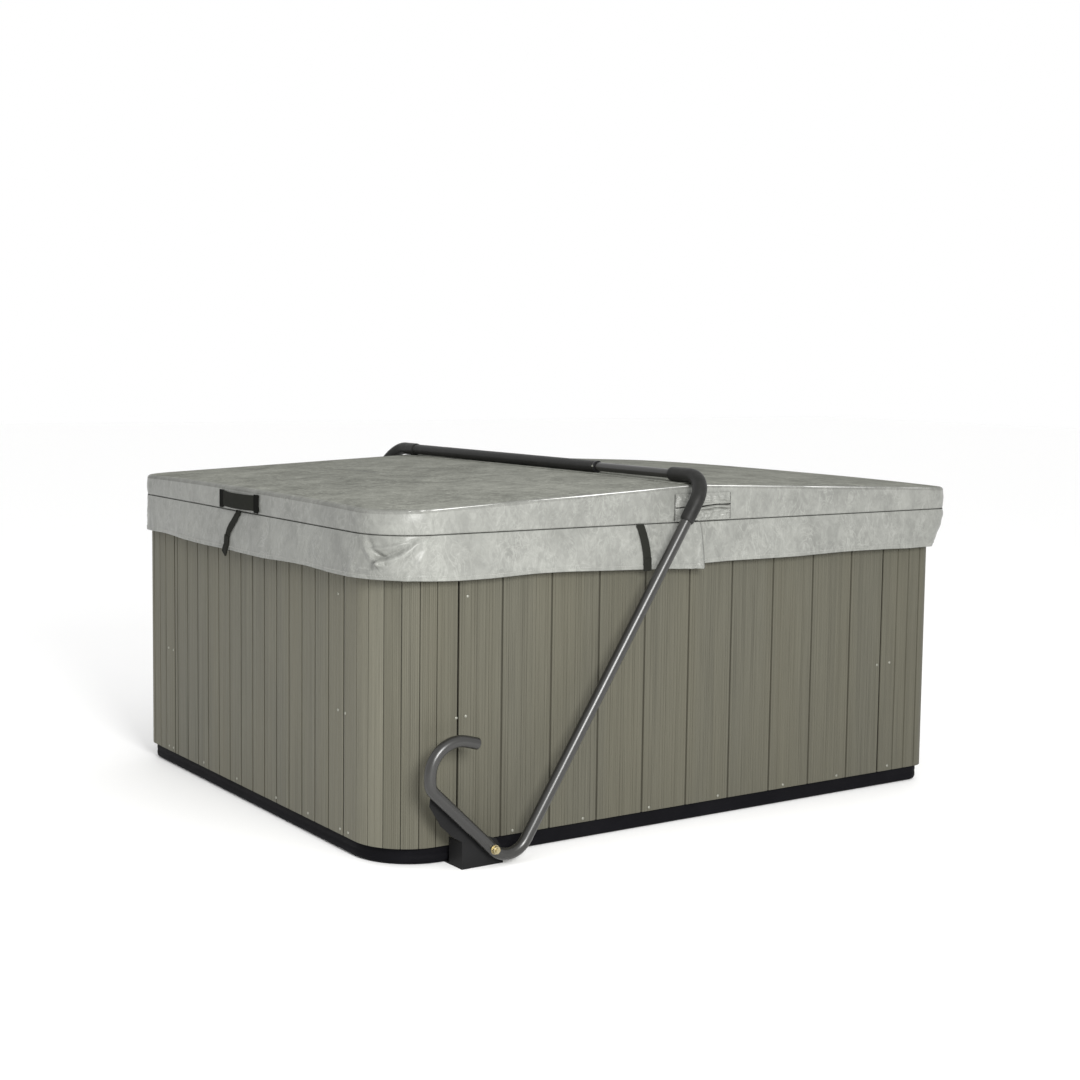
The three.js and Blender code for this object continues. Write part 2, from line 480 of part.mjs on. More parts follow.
// Telescoping crossbar: slim inner tube from the front elbow, outer tube from
// the back elbow, clamp collar where they meet, foam over the outer tube.
const yCollar = -380;
{
  const R_IN = 14; const line = (y0, y1) => [V3(BAR[0], y0, BAR[1]), V3(BAR[0], y1, BAR[1])];
  add(lifter, 'crossbar_inner_tube', tube(line(yElbow + GAP, yCollar + 260), R_IN, R_IN - 1.6, 12), CLR.gun, 0.3, 0.8);
  add(lifter, 'crossbar_outer_tube', tube(line(yCollar + 12, -yElbow - GAP), 16.2, 14.7, 12), CLR.gun, 0.3, 0.8);
  add(lifter, 'crossbar_collar', tube(line(yCollar, yCollar + 11.5), 19.5, R_IN + 0.6, 12), CLR.black, 0.6);
  add(lifter, 'crossbar_foam', tube(line(yCollar + 13, -(yElbow + 16)), 18.2, 16.9, 12), CLR.black, 0.9);
}

// --------------------------------------------------------- cover, both halves
const zTopL = (x) => RIM_Z + T_FOLD - ((T_FOLD - T_END) * -x) / (HX + COVER_OUT_L);
const zTopR = (x) => RIM_Z + T_FOLD - ((T_FOLD - T_END_R) * x) / (HX + COVER_OUT_R);
const Y0 = -HY - COVER_OUT_Y; const Y1 = HY + COVER_OUT_Y;
function halfPlan(side, inset = 0, fold = FOLD_GAP / 2) {
  if (side < 0) return roundRect(-HX - COVER_OUT_L + inset, -fold - inset, Y0 + inset, Y1 - inset, [COVER_R_L - inset, 0, 0, COVER_R_BL - inset], 7);
  return roundRect(fold + inset, HX + COVER_OUT_R - inset, Y0 + inset, Y1 - inset, [0, COVER_R_R - inset, COVER_R_R - inset, 0], 7);
}
function buildHalf(side, group, tag) {
  const zt = side < 0 ? zTopL : zTopR;
  const outer = prism(halfPlan(side), COVER_Z, zt);
  const inner = prism(halfPlan(side, VINYL), COVER_Z + VINYL, (x) => zt(x) - VINYL);
  const zipX = side * 60;
  const zip = box(zipX - 3, zipX + 3, Y0 + 150, Y1 - 150, COVER_Z - 2, COVER_Z + VINYL + 1);
  add(group, `cover_jacket_${tag}`, cut(outer, inner, zip), CLR.vinyl, 0.45);
  // Steel stiffener channel along the fold edge, flanges over the foam.
  const xf = FOLD_GAP / 2 + VINYL + 0.5; const t = 1.6; const lip = 26;
  const zb = COVER_Z + VINYL + 0.5; const zc = (x) => zt(side * x) - VINYL - 0.5;
  const chan = (g) => [[xf - g, zb - g], [xf + lip + g, zb - g], [xf + lip + g, zb + t + g], [xf + t + g, zb + t + g],
    [xf + t + g, zc(xf + t) - t - g], [xf + lip + g, zc(xf + lip) - t - g], [xf + lip + g, zc(xf + lip) + g], [xf - g, zc(xf) + g]];
  const chanSolid = (g, y0, y1) => {
    const c = prism(chan(g).map(([x, z]) => [side * x, z]), 0, y1 - y0);
    c.rotateX(Math.PI / 2); c.translate(0, y1, 0); return c;
  };
  add(group, `fold_stiffener_${tag}`, chanSolid(0, Y0 + 30, Y1 - 30), CLR.galv, 0.4, 0.7);
  const core = prism(halfPlan(side, VINYL + 0.5, FOLD_GAP / 2), COVER_Z + VINYL + 0.5, (x) => zt(x) - VINYL - 0.5);
  add(group, `foam_core_${tag}`, cut(core, chanSolid(0.5, Y0 - 5, Y1 + 5)), CLR.foam, 0.9);
  // Skirt: one strip round three sides, hanging from the seam.
  const so = 1.5; const skOut = halfPlan(side, so, FOLD_GAP / 2 - so); const skIn = halfPlan(side, so + SKIRT_T, FOLD_GAP / 2 - so - SKIRT_T);
  // keep only the open strip: both outlines start and end on the fold edge
  const fx = side * (FOLD_GAP / 2);
  const open = (pts) => {
    const on = (p) => Math.abs(p[0] - fx) < 0.6;
    const k = pts.findIndex((p, i) => on(p) && on(pts[(i + pts.length - 1) % pts.length]));
    return pts.slice(k).concat(pts.slice(0, k));
  };
  const a = open(skOut); const b = open(skIn).reverse();
  add(group, `cover_skirt_${tag}`, prism([...a, ...b], SKIRT_Z, COVER_Z - GAP), CLR.vinyl, 0.5);
}
buildHalf(-1, coverL, 'left');
buildHalf(1, coverR, 'right');

// Insulating seal between the halves, fixed to the lifter-end half.
add(coverL, 'fold_seal', box(-1.6, 1.6, Y0 + 12, Y1 - 12, COVER_Z + 8, RIM_Z + T_FOLD - 4), CLR.vinyl, 0.6);
// Hinge gussets: patches across the ends of the fold.
{
  const gus = box(-83, 128, Y0 - 2.6, Y0 - 0.5, COVER_Z + 5, COVER_Z + 84);
  add(coverL, 'hinge_gusset_front', gus, CLR.vinyl, 0.5);
  add(coverL, 'hinge_gusset_back', mirrorY(gus), CLR.vinyl, 0.5);
}
// Carry handles on both ends: webbing bowed out from the band.
function handleGeo(xFace, dir) {
  const pts = []; const n = 10; const w = 138;
  const bow = (y) => { const q = Math.max(0, 1 - (y / 112) ** 2); return 13 * Math.sqrt(q) * (Math.abs(y) < 112 ? 1 : 0); };
  const ys = [-w, -114, -108, -98, -80, -50, 0, 50, 80, 98, 108, 114, w];
  for (const y of ys) pts.push([dir * (1.0 + bow(y)) + xFace, y]);
  for (const y of [...ys].reverse()) pts.push([dir * (5.0 + bow(y)) + xFace, y]);
  return pts;
}
add(coverL, 'handle_left', (() => { const g = prism(handleGeo(-HX - COVER_OUT_L, -1), COVER_Z + 9, COVER_Z + 56); g.translate(0, 26, 0); return g; })(), CLR.black, 0.85);
add(coverR, 'handle_right', (() => { const g = prism(handleGeo(HX + COVER_OUT_R, 1), COVER_Z + 9, COVER_Z + 56); g.translate(0, 26, 0); return g; })(), CLR.black, 0.85);
// Tie-down straps hanging over the skirt, each ending in a buckle tongue.
const ST_W = 34; const ST_Z0 = SKIRT_Z + 24; const ST_Z1 = COVER_Z - 8;
{
  const xs = -205; const yF = Y0 + 1.5;
  const front = box(xs - ST_W / 2, xs + ST_W / 2, yF - 2.6, yF - 0.4, ST_Z0, ST_Z1);
  const bk = box(xs - 20, xs + 20, yF - 8, yF - 0.4, SKIRT_Z - 4, ST_Z0 - GAP);
  add(coverL, 'strap_front', front, CLR.black, 0.85);
  add(coverL, 'buckle_front', bk, CLR.black, 0.5);
  add(coverL, 'strap_back', mirrorY(front), CLR.black, 0.85);
  add(coverL, 'buckle_back', mirrorY(bk), CLR.black, 0.5);
  const end = (xFace, dir) => {
    const a = xFace + dir * 0.4; const b = xFace + dir * 2.6; const c = xFace + dir * 8; const y = 64;
    return [box(Math.min(a, b), Math.max(a, b), y - ST_W / 2, y + ST_W / 2, ST_Z0, ST_Z1),
      box(Math.min(a, c), Math.max(a, c), y - 20, y + 20, SKIRT_Z - 4, ST_Z0 - GAP)];
  };
  const l = end(-HX - COVER_OUT_L + 1.5, -1); const r = end(HX + COVER_OUT_R - 1.5, 1);
  add(coverL, 'strap_left', l[0], CLR.black, 0.85); add(coverL, 'buckle_left', l[1], CLR.black, 0.5);
  add(coverR, 'strap_right', r[0], CLR.black, 0.85); add(coverR, 'buckle_right', r[1], CLR.black, 0.5);
}

export default product;
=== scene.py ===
import bpy, bmesh, math, random
import numpy as np
from mathutils import Vector, Matrix, noise


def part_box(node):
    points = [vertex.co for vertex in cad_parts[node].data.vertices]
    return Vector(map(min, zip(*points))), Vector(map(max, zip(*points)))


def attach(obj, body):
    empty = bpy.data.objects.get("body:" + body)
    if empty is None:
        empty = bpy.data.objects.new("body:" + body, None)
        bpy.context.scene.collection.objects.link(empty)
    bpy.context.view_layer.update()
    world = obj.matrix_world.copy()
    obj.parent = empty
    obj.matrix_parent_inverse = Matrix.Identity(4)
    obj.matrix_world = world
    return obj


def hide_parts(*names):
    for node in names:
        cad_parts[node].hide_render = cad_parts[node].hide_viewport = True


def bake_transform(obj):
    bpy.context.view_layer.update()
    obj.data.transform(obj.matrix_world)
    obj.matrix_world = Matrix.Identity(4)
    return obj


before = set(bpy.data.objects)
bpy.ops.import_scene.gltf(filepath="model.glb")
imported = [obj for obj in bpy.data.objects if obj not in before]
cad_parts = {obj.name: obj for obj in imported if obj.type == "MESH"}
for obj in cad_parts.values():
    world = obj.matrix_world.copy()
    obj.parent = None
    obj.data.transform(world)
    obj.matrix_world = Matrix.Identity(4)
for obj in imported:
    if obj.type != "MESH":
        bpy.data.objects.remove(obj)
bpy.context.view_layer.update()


scene = bpy.context.scene
rng = random.Random(11)

# ------------------------------------------------------------------ dimensions
HX, HY = 1.0275, 0.8265
RIM = 0.902
CZ = 0.9026                       # underside of the cover
XL, XR, YO = 1.0505, 1.0785, 0.8535
RL, RB, RR = 0.155, 0.110, 0.068
FOLD = 0.0035
TF, TL, TR = 0.111, 0.064, 0.069
HEM = 0.781
ARM_Y, TR_ = 0.919, 0.0165
PIV = np.array([-0.7483, 0.0526])
BAR = np.array([-0.0145, 1.038])
AX = (0.0, 1.037)


# --------------------------------------------------------------------- meshes
def make(name, V, F, mat, body=None, smooth=True, angle=None, fix=True):
    me = bpy.data.meshes.new(name)
    me.from_pydata([tuple(map(float, v)) for v in V], [], [tuple(int(i) for i in f) for f in F])
    if fix:
        bm = bmesh.new(); bm.from_mesh(me)
        bmesh.ops.recalc_face_normals(bm, faces=bm.faces)
        bm.to_mesh(me); bm.free()
    me.update()
    o = bpy.data.objects.new(name, me)
    scene.collection.objects.link(o)
    if mat is not None:
        me.materials.append(mat)
    if smooth:
        me.polygons.foreach_set("use_smooth", [True] * len(me.polygons))
        if angle:
            bm = bmesh.new(); bm.from_mesh(me)
            for e in bm.edges:
                if len(e.link_faces) == 2 and e.calc_face_angle(0) > math.radians(angle):
                    e.smooth = False
            bm.to_mesh(me); bm.free()
    if body:
        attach(o, body)
    return o


def grid(P, cu=False, cv=False):
    P = np.asarray(P, float); nu, nv = P.shape[:2]
    F = []
    for i in range(nu if cu else nu - 1):
        a = i; b = (i + 1) % nu
        for j in range(nv if cv else nv - 1):
            c = (j + 1) % nv
            F.append((a * nv + j, b * nv + j, b * nv + c, a * nv + c))
    return P.reshape(-1, 3), F


def capped(P):
    """Rings P (nrings, n, 3), closed around, capped at both ends."""
    V, F = grid(P, cu=False, cv=True)
    n = P.shape[1]; k = P.shape[0]
    V = np.vstack([V, P[0].mean(0), P[-1].mean(0)])
    for j in range(n):
        c = (j + 1) % n
        F.append((k * n, c, j)); F.append((k * n + 1, (k - 1) * n + j, (k - 1) * n + c))
    return V, F


def merge(parts):
    V = []; F = []; n = 0
    for v, f in parts:
        V.append(np.asarray(v, float)); F += [tuple(i + n for i in q) for q in f]; n += len(v)
    return np.vstack(V), F


def lathe(profile, n=40):
    """Closed profile of (r, h) pairs turned about the local axis h."""
    P = np.array([[(r * math.cos(2 * math.pi * k / n), r * math.sin(2 * math.pi * k / n), h) for r, h in profile] for k in range(n)])
    return grid(P, cu=True, cv=True)


def place(V, M):
    return np.array([tuple(M @ Vector(v)) for v in V])


def noise3(x, y, z, s=1.0, seed=0.0):
    return noise.noise(Vector((x * s + seed, y * s + 1.7 * seed, z * s - seed)))


def sweep(path, radius, n=28, cap=True, ends=0.0015, squash=None):
    """Round tube along a path; radius may be a list. Small edge rounding at the ends."""
    path = np.asarray(path, float)
    T = np.gradient(path, axis=0); T /= np.linalg.norm(T, axis=1)[:, None]
    N = np.array([0, 1.0, 0]) if abs(T[0][1]) < 0.9 else np.array([1.0, 0, 0])
    R = np.full(len(path), radius) if np.isscalar(radius) else np.asarray(radius, float)
    rings = []
    for k in range(len(path)):
        N = N - T[k] * N.dot(T[k]); N /= np.linalg.norm(N)
        B = np.cross(T[k], N)
        a = np.arange(n) * 2 * math.pi / n
        ring = path[k] + R[k] * (np.cos(a)[:, None] * N + np.sin(a)[:, None] * B)
        rings.append(ring)
    P = np.array(rings)
    if cap and ends:
        def lip(ring, c, t, s):
            out = []
            for q in (0.3, 1.0):
                w = 1 - ends * q * q / R[0]
                out.append(c + (ring - c) * w - t * s * 0 + t * s * ends * (math.sin(q * math.pi / 2)))
            return out
        a0 = lip(P[0], path[0], -T[0], 1); a1 = lip(P[-1], path[-1], T[-1], 1)
        P = np.array(a0[::-1] + list(P) + a1)
    return capped(P) if cap else grid(P, cv=True)


def arc(c, r, a0, a1, n, plane="xz"):
    t = np.radians(np.linspace(a0, a1, n))
    return [(c[0] + r * math.cos(q), c[1] + r * math.sin(q)) for q in t]


def dense(pts, step):
    """Points spaced evenly along a polyline."""
    pts = np.asarray(pts, float)
    d = np.r_[0, np.cumsum(np.linalg.norm(np.diff(pts, axis=0), axis=1))]
    n = max(2, int(d[-1] / step) + 1)
    t = np.linspace(0, d[-1], n)
    return np.stack([np.interp(t, d, pts[:, i]) for i in range(pts.shape[1])], 1)


# ------------------------------------------------------------------ materials
class Mat:
    def __init__(self, name, color=(0.5, 0.5, 0.5), rough=0.5, metal=0.0, spec=0.5, coat=0.0, coat_rough=0.1, sheen=0.0):
        self.m = bpy.data.materials.new(name)
        self.m.use_nodes = True
        self.t = self.m.node_tree
        self.b = self.t.nodes["Principled BSDF"]
        s = self.b.inputs
        s["Base Color"].default_value = (*color, 1)
        s["Roughness"].default_value = rough
        s["Metallic"].default_value = metal
        s["Specular IOR Level"].default_value = spec
        s["Coat Weight"].default_value = coat
        s["Coat Roughness"].default_value = coat_rough
        s["Sheen Weight"].default_value = sheen
        self.co = self.n("ShaderNodeTexCoord").outputs["Object"]

    def n(self, kind, **kw):
        x = self.t.nodes.new(kind)
        for k, v in kw.items():
            if k.startswith("i_"):
                x.inputs[k[2:].replace("_", " ")].default_value = v
            else:
                setattr(x, k, v)
        return x

    def l(self, a, b):
        self.t.links.new(a, b)

    def mapping(self, scale=(1, 1, 1), rot=(0, 0, 0), loc=(0, 0, 0), src=None):
        x = self.n("ShaderNodeMapping")
        x.inputs["Scale"].default_value = scale; x.inputs["Rotation"].default_value = rot; x.inputs["Location"].default_value = loc
        self.l(src or self.co, x.inputs["Vector"])
        return x.outputs["Vector"]

    def noise(self, scale=5, detail=3, rough=0.5, dist=0.0, vec=None):
        x = self.n("ShaderNodeTexNoise")
        x.inputs["Scale"].default_value = scale; x.inputs["Detail"].default_value = detail
        x.inputs["Roughness"].default_value = rough; x.inputs["Distortion"].default_value = dist
        self.l(vec or self.co, x.inputs["Vector"])
        return x.outputs["Fac"]

    def voronoi(self, scale=50, feature="F1", vec=None, rand=1.0):
        x = self.n("ShaderNodeTexVoronoi", feature=feature)
        x.inputs["Scale"].default_value = scale; x.inputs["Randomness"].default_value = rand
        self.l(vec or self.co, x.inputs["Vector"])
        return x.outputs["Distance"]

    def ramp(self, src, stops):
        x = self.n("ShaderNodeValToRGB")
        e = x.color_ramp.elements
        while len(e) < len(stops):
            e.new(0.5)
        for k, (p, c) in enumerate(stops):
            e[k].position = p
            e[k].color = (c, c, c, 1) if not hasattr(c, "__len__") else (*c, 1)
        self.l(src, x.inputs["Fac"])
        return x.outputs["Color"]

    def math(self, op, a, b=None, clamp=False):
        x = self.n("ShaderNodeMath", operation=op, use_clamp=clamp)
        for k, v in enumerate((a, b)):
            if v is None:
                continue
            if isinstance(v, (int, float)):
                x.inputs[k].default_value = v
            else:
                self.l(v, x.inputs[k])
        return x.outputs[0]

    def mix(self, fac, a, b, mode="MIX"):
        x = self.n("ShaderNodeMix", data_type="RGBA", blend_type=mode)
        if isinstance(fac, (int, float)):
            x.inputs[0].default_value = fac
        else:
            self.l(fac, x.inputs[0])
        for k, v in ((6, a), (7, b)):
            if isinstance(v, tuple):
                x.inputs[k].default_value = (*v, 1)
            else:
                self.l(v, x.inputs[k])
        return x.outputs[2]

    def bump(self, height, strength=0.3, dist=0.001, normal=None):
        x = self.n("ShaderNodeBump")
        x.inputs["Strength"].default_value = strength; x.inputs["Distance"].default_value = dist
        self.l(height, x.inputs["Height"])
        if normal is not None:
            self.l(normal, x.inputs["Normal"])
        return x.outputs["Normal"]

    def set(self, sock, src):
        self.l(src, self.b.inputs[sock])
        return self


def k(c, f):
    return tuple(x * f for x in c)


def vinyl_mat(name, base=(0.345, 0.350, 0.325), grain=1.0, spec=0.26, gain=1.0):
    m = Mat(name, base, 0.42, spec=spec)
    # broad clouding
    cloud = m.ramp(m.noise(5.2, 6, 0.66, 1.1), [(0.34, 0.0), (0.66, 1.0)])
    # fine light veins, broken up by a mask, running along skewed directions
    v1 = m.noise(13.0, 4, 0.55, 1.6, m.mapping((1.3, 1.2, 0.8), (0.3, 0.2, 0.6)))
    r1 = m.ramp(v1, [(0.462, 0.0), (0.498, 1.0), (0.534, 0.0)])
    v2 = m.noise(27.0, 4, 0.6, 1.7, m.mapping((1.2, 1.1, 0.7), (0.9, 0.1, -0.5), (3.1, 1.2, 0.4)))
    r2 = m.ramp(v2, [(0.455, 0.0), (0.500, 1.0), (0.545, 0.0)])
    patch = m.ramp(m.noise(9.3, 3, 0.5, 0.3, m.mapping((1.0, 1.0, 0.7), loc=(5.2, 1.3, 9.1))), [(0.40, 0.0), (0.60, 1.0)])
    patch2 = m.ramp(m.noise(11.1, 3, 0.5, 0.3, m.mapping((1.0, 1.0, 0.6), loc=(1.2, 7.3, 2.1))), [(0.40, 0.0), (0.62, 1.0)])
    vein = m.math("ADD", m.math("MULTIPLY", r1, patch), m.math("MULTIPLY", m.math("MULTIPLY", r2, patch2), 0.9), clamp=True)
    # soft smoky blotches that follow the veins, and darker hollows between them
    blot = m.ramp(m.noise(30.0, 6, 0.74, 1.3, m.mapping((1.1, 1.1, 0.65))), [(0.44, 0.0), (0.70, 1.0)])
    hollow = m.ramp(m.noise(16.0, 5, 0.7, 0.9, m.mapping((1.0, 1.0, 0.8), loc=(8.2, 3.3, 4.1))), [(0.34, 1.0), (0.52, 0.0)])
    col = m.mix(cloud, k(base, 1 - 0.11 * gain), k(base, 1 + 0.11 * gain))
    col = m.mix(m.math("MULTIPLY", hollow, 0.6 * min(1, gain)), col, k(base, 0.82))
    col = m.mix(m.math("MULTIPLY", blot, 0.42), col, k(base, 1 + 0.34 * gain))
    col = m.mix(m.math("MULTIPLY", vein, 0.40), col, k(base, 1 + 0.46 * gain))
    m.set("Base Color", col)
    cell = m.voronoi(620, "SMOOTH_F1")
    fine = m.noise(1500, 2, 0.5)
    n1 = m.bump(cell, 0.22 * grain, 0.0006)
    n2 = m.bump(fine, 0.12 * grain, 0.0004, n1)
    n3 = m.bump(m.noise(9, 4, 0.55, 0.4), 0.35, 0.004, n2)
    m.set("Normal", n3)
    m.set("Roughness", m.math("ADD", m.math("MULTIPLY", cell, 0.10), 0.27))
    return m.m


def board_mat(name, base=(0.118, 0.115, 0.092)):
    m = Mat(name, base, 0.55, spec=0.12)
    fine = m.noise(1.0, 4, 0.62, 0.0, m.mapping((420, 420, 3.2)))
    mid = m.noise(1.0, 3, 0.55, 0.4, m.mapping((95, 95, 1.6), loc=(3, 1, 0)))
    wide = m.noise(1.0, 2, 0.5, 0.0, m.mapping((6.2, 6.2, 0.6), loc=(1, 4, 2)))
    streak = m.ramp(fine, [(0.28, 0.0), (0.70, 1.0)])
    dark = m.ramp(mid, [(0.36, 1.0), (0.50, 0.0)])
    col = m.mix(streak, k(base, 0.80), k(base, 1.16))
    col = m.mix(m.math("MULTIPLY", dark, 0.38), col, k(base, 0.66))
    col = m.mix(m.math("MULTIPLY", m.ramp(wide, [(0.35, 0.0), (0.65, 1.0)]), 0.30), col, (base[0] * 1.13, base[1] * 1.09, base[2] * 0.98))
    m.set("Base Color", col)
    n1 = m.bump(fine, 0.35, 0.0008)
    n2 = m.bump(mid, 0.30, 0.0012, n1)
    m.set("Normal", n2)
    m.set("Roughness", m.math("ADD", m.math("MULTIPLY", fine, 0.22), 0.42))
    return m.m


def moulded_mat(name, base, rough=0.5, scale=260, amount=0.25, spec=0.4):
    m = Mat(name, base, rough, spec=spec)
    a = m.noise(scale, 3, 0.6)
    b = m.noise(9, 4, 0.6, 0.3)
    m.set("Base Color", m.mix(m.ramp(b, [(0.3, 0.0), (0.7, 1.0)]), k(base, 0.86), k(base, 1.18)))
    m.set("Normal", m.bump(b, 0.15, 0.003, m.bump(a, amount, 0.0006)))
    m.set("Roughness", m.math("ADD", m.math("MULTIPLY", a, 0.16), rough - 0.08))
    return m.m


def tube_mat(name):
    base = (0.0130, 0.0126, 0.0114)
    m = Mat(name, base, 0.18, metal=0.0, spec=0.62, coat=0.0, coat_rough=0.10)
    a = m.noise(700, 2, 0.5)
    b = m.noise(14, 4, 0.6, 0.2)
    m.set("Base Color", m.mix(m.ramp(b, [(0.3, 0.0), (0.7, 1.0)]), k(base, 0.90), k(base, 1.12)))
    m.set("Normal", m.bump(a, 0.10, 0.0003))
    m.set("Roughness", m.math("ADD", m.math("MULTIPLY", b, 0.08), 0.27))
    return m.m


def foam_mat(name, base=(0.0130, 0.0130, 0.0122)):
    m = Mat(name, base, 0.50, spec=0.16)
    a = m.voronoi(900, "F1")
    b = m.noise(40, 4, 0.6)
    m.set("Base Color", m.mix(m.ramp(b, [(0.3, 0.0), (0.7, 1.0)]), k(base, 0.80), k(base, 1.25)))
    m.set("Normal", m.bump(b, 0.12, 0.001, m.bump(a, 0.35, 0.0005)))
    m.set("Roughness", m.math("ADD", m.math("MULTIPLY", b, 0.15), 0.36))
    return m.m


def web_mat(name, base=(0.0142, 0.0147, 0.0124)):
    m = Mat(name, base, 0.75, spec=0.03)
    # woven ribs across, with a fine twill along
    w = m.n("ShaderNodeTexWave", wave_type="BANDS", bands_direction="DIAGONAL")
    w.inputs["Scale"].default_value = 140; w.inputs["Distortion"].default_value = 0.6; w.inputs["Detail"].default_value = 1.5
    m.l(m.mapping((1, 1, 1)), w.inputs["Vector"])
    w2 = m.n("ShaderNodeTexWave", wave_type="BANDS", bands_direction="Z")
    w2.inputs["Scale"].default_value = 190
    m.l(m.co, w2.inputs["Vector"])
    h = m.math("ADD", w.outputs["Fac"], m.math("MULTIPLY", w2.outputs["Fac"], 0.7))
    b = m.noise(60, 3, 0.6)
    col = m.mix(m.ramp(h, [(0.3, 0.0), (1.3 / 1.7, 1.0)]), k(base, 0.72), k(base, 1.35))
    m.set("Base Color", m.mix(m.math("MULTIPLY", b, 0.3), col, k(base, 1.5)))
    m.set("Normal", m.bump(h, 0.5, 0.0008))
    return m.m


def metal_mat(name, base, rough=0.3, metal=0.95):
    m = Mat(name, base, rough, metal=metal)
    a = m.noise(260, 4, 0.6)
    b = m.noise(1200, 2, 0.5)
    m.set("Base Color", m.mix(m.ramp(a, [(0.3, 0.0), (0.7, 1.0)]), k(base, 0.78), k(base, 1.12)))
    m.set("Normal", m.bump(b, 0.12, 0.0002))
    m.set("Roughness", m.math("ADD", m.math("MULTIPLY", a, 0.18), rough - 0.08))
    return m.m


def acrylic_mat(name):
    base = (0.66, 0.66, 0.63)
    m = Mat(name, base, 0.16, spec=0.5, coat=0.6, coat_rough=0.06)
    c = m.noise(5, 5, 0.65, 1.1)
    f = m.noise(32, 4, 0.6, 0.6)
    col = m.mix(m.ramp(c, [(0.35, 0.0), (0.65, 1.0)]), (0.44, 0.45, 0.44), (0.56, 0.555, 0.53))
    m.set("Base Color", m.mix(m.math("MULTIPLY", m.ramp(f, [(0.45, 0.0), (0.7, 1.0)]), 0.25), col, (0.80, 0.80, 0.78)))
    m.set("Normal", m.bump(m.noise(8, 2, 0.4), 0.06, 0.003))
    return m.m


def galv_mat(name):
    m = Mat(name, (0.45, 0.46, 0.47), 0.42, metal=0.8)
    v = m.n("ShaderNodeTexVoronoi", feature="F1")
    v.inputs["Scale"].default_value = 60
    m.l(m.co, v.inputs["Vector"])
    m.set("Base Color", m.mix(m.ramp(v.outputs["Distance"], [(0.1, 0.0), (0.8, 1.0)]), (0.36, 0.37, 0.38), (0.55, 0.56, 0.57)))
    m.set("Normal", m.bump(m.noise(90, 3, 0.6), 0.1, 0.001))
    return m.m


def foamcore_mat(name):
    m = Mat(name, (0.85, 0.85, 0.83), 0.85)
    v = m.voronoi(240, "F1")
    m.set("Base Color", m.mix(m.ramp(v, [(0.1, 0.0), (0.8, 1.0)]), (0.88, 0.88, 0.86), (0.74, 0.74, 0.72)))
    m.set("Normal", m.bump(v, 0.5, 0.002))
    return m.m


VINYL = vinyl_mat("vinyl_marbled", (0.182, 0.185, 0.171), 1.0, 0.26, 1.6)
# painted shade: the top copy has no reflection, so the top of the cover reads darker than its sides
VINYL_TOP_SHADED = vinyl_mat("vinyl_marbled_top_painted_shade", (0.182, 0.185, 0.164), 1.0, 0.0, 2.4)
# painted shade: a darker, nearly reflection-free copy for the upper band and edge roll, hiding the key light's
# highlight there
VINYL_EDGE_SHADED = vinyl_mat("vinyl_marbled_edge_painted_shade", (0.160, 0.162, 0.150), 1.0, 0.02, 1.6)
BOARDS = board_mat("cabinet_board_grain", (0.0850, 0.0822, 0.0640))
# painted light: the end walls and the posts' end-facing legs use lighter copies of the board colour in place of light
# the key does not give them; the corner copy sits between
BOARDS_END_LIT = board_mat("cabinet_board_grain_end_painted_light", (0.1260, 0.1225, 0.0975))
GROOVE = board_mat("board_groove_shade", (0.0640, 0.0615, 0.0475))
GROOVE_END_LIT = board_mat("board_groove_shade_end_painted_light", (0.1020, 0.0990, 0.0780))
BOARDS_MID_LIT = board_mat("cabinet_board_grain_corner_painted_light", (0.0915, 0.0888, 0.0696))
PAN = moulded_mat("base_black_moulded", (0.0050, 0.0049, 0.0060), 0.55, 220, 0.35, spec=0.03)
SHADOWED = moulded_mat("seam_painted_shadow_black", (0.0035, 0.0033, 0.0028), 0.7, 300, 0.2, spec=0.0)
BRACKET = moulded_mat("bracket_black_coat", (0.0105, 0.0105, 0.0108), 0.45, 520, 0.25, spec=0.08)
GUN = tube_mat("tube_gunmetal_coat")
SLEEVE = foam_mat("sleeve_black_foam")
WEB = web_mat("webbing_black_weave")
WEBD = web_mat("webbing_tab_weave", (0.0048, 0.0050, 0.0043))
BUCK = moulded_mat("buckle_black_plastic", (0.010, 0.010, 0.011), 0.40, 300, 0.15, spec=0.25)
ZINC = metal_mat("zinc_yellow", (0.40, 0.345, 0.205), 0.34, 0.9)
STEEL = metal_mat("screw_steel", (0.30, 0.30, 0.26), 0.40, 0.8)
ACRYL = acrylic_mat("acrylic_pearl")
PILLOW = moulded_mat("headrest_dark_foam", (0.060, 0.061, 0.064), 0.55, 340, 0.3)
EQUIP = moulded_mat("equipment_dark", (0.045, 0.047, 0.050), 0.45, 300, 0.2)
GALV = galv_mat("galvanised_spangle")
CORE = foamcore_mat("foam_bead")
CHROME = metal_mat("jet_steel", (0.80, 0.80, 0.79), 0.12)
THREAD = moulded_mat("thread_grey", (0.30, 0.30, 0.28), 0.7, 900, 0.3)
SEAMD = moulded_mat("seam_shadow_thread", (0.022, 0.022, 0.020), 0.8, 700, 0.2, spec=0.15)

BY_SLOT = {"cabinet_board": BOARDS, "base_black": PAN, "acrylic": ACRYL, "galvanised": GALV, "bracket_black": BRACKET,
           "zinc": ZINC, "tube_gunmetal": GUN, "sleeve_black": SLEEVE, "vinyl_grey": VINYL, "foam_white": CORE,
           "webbing_black": WEB, "buckle_black": BUCK, "headrest_dark": PILLOW, "equipment_dark": EQUIP, "heater_steel": STEEL}


def node_obj(name):
    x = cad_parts[name]
    return x if hasattr(x, "data") else bpy.data.objects[name]


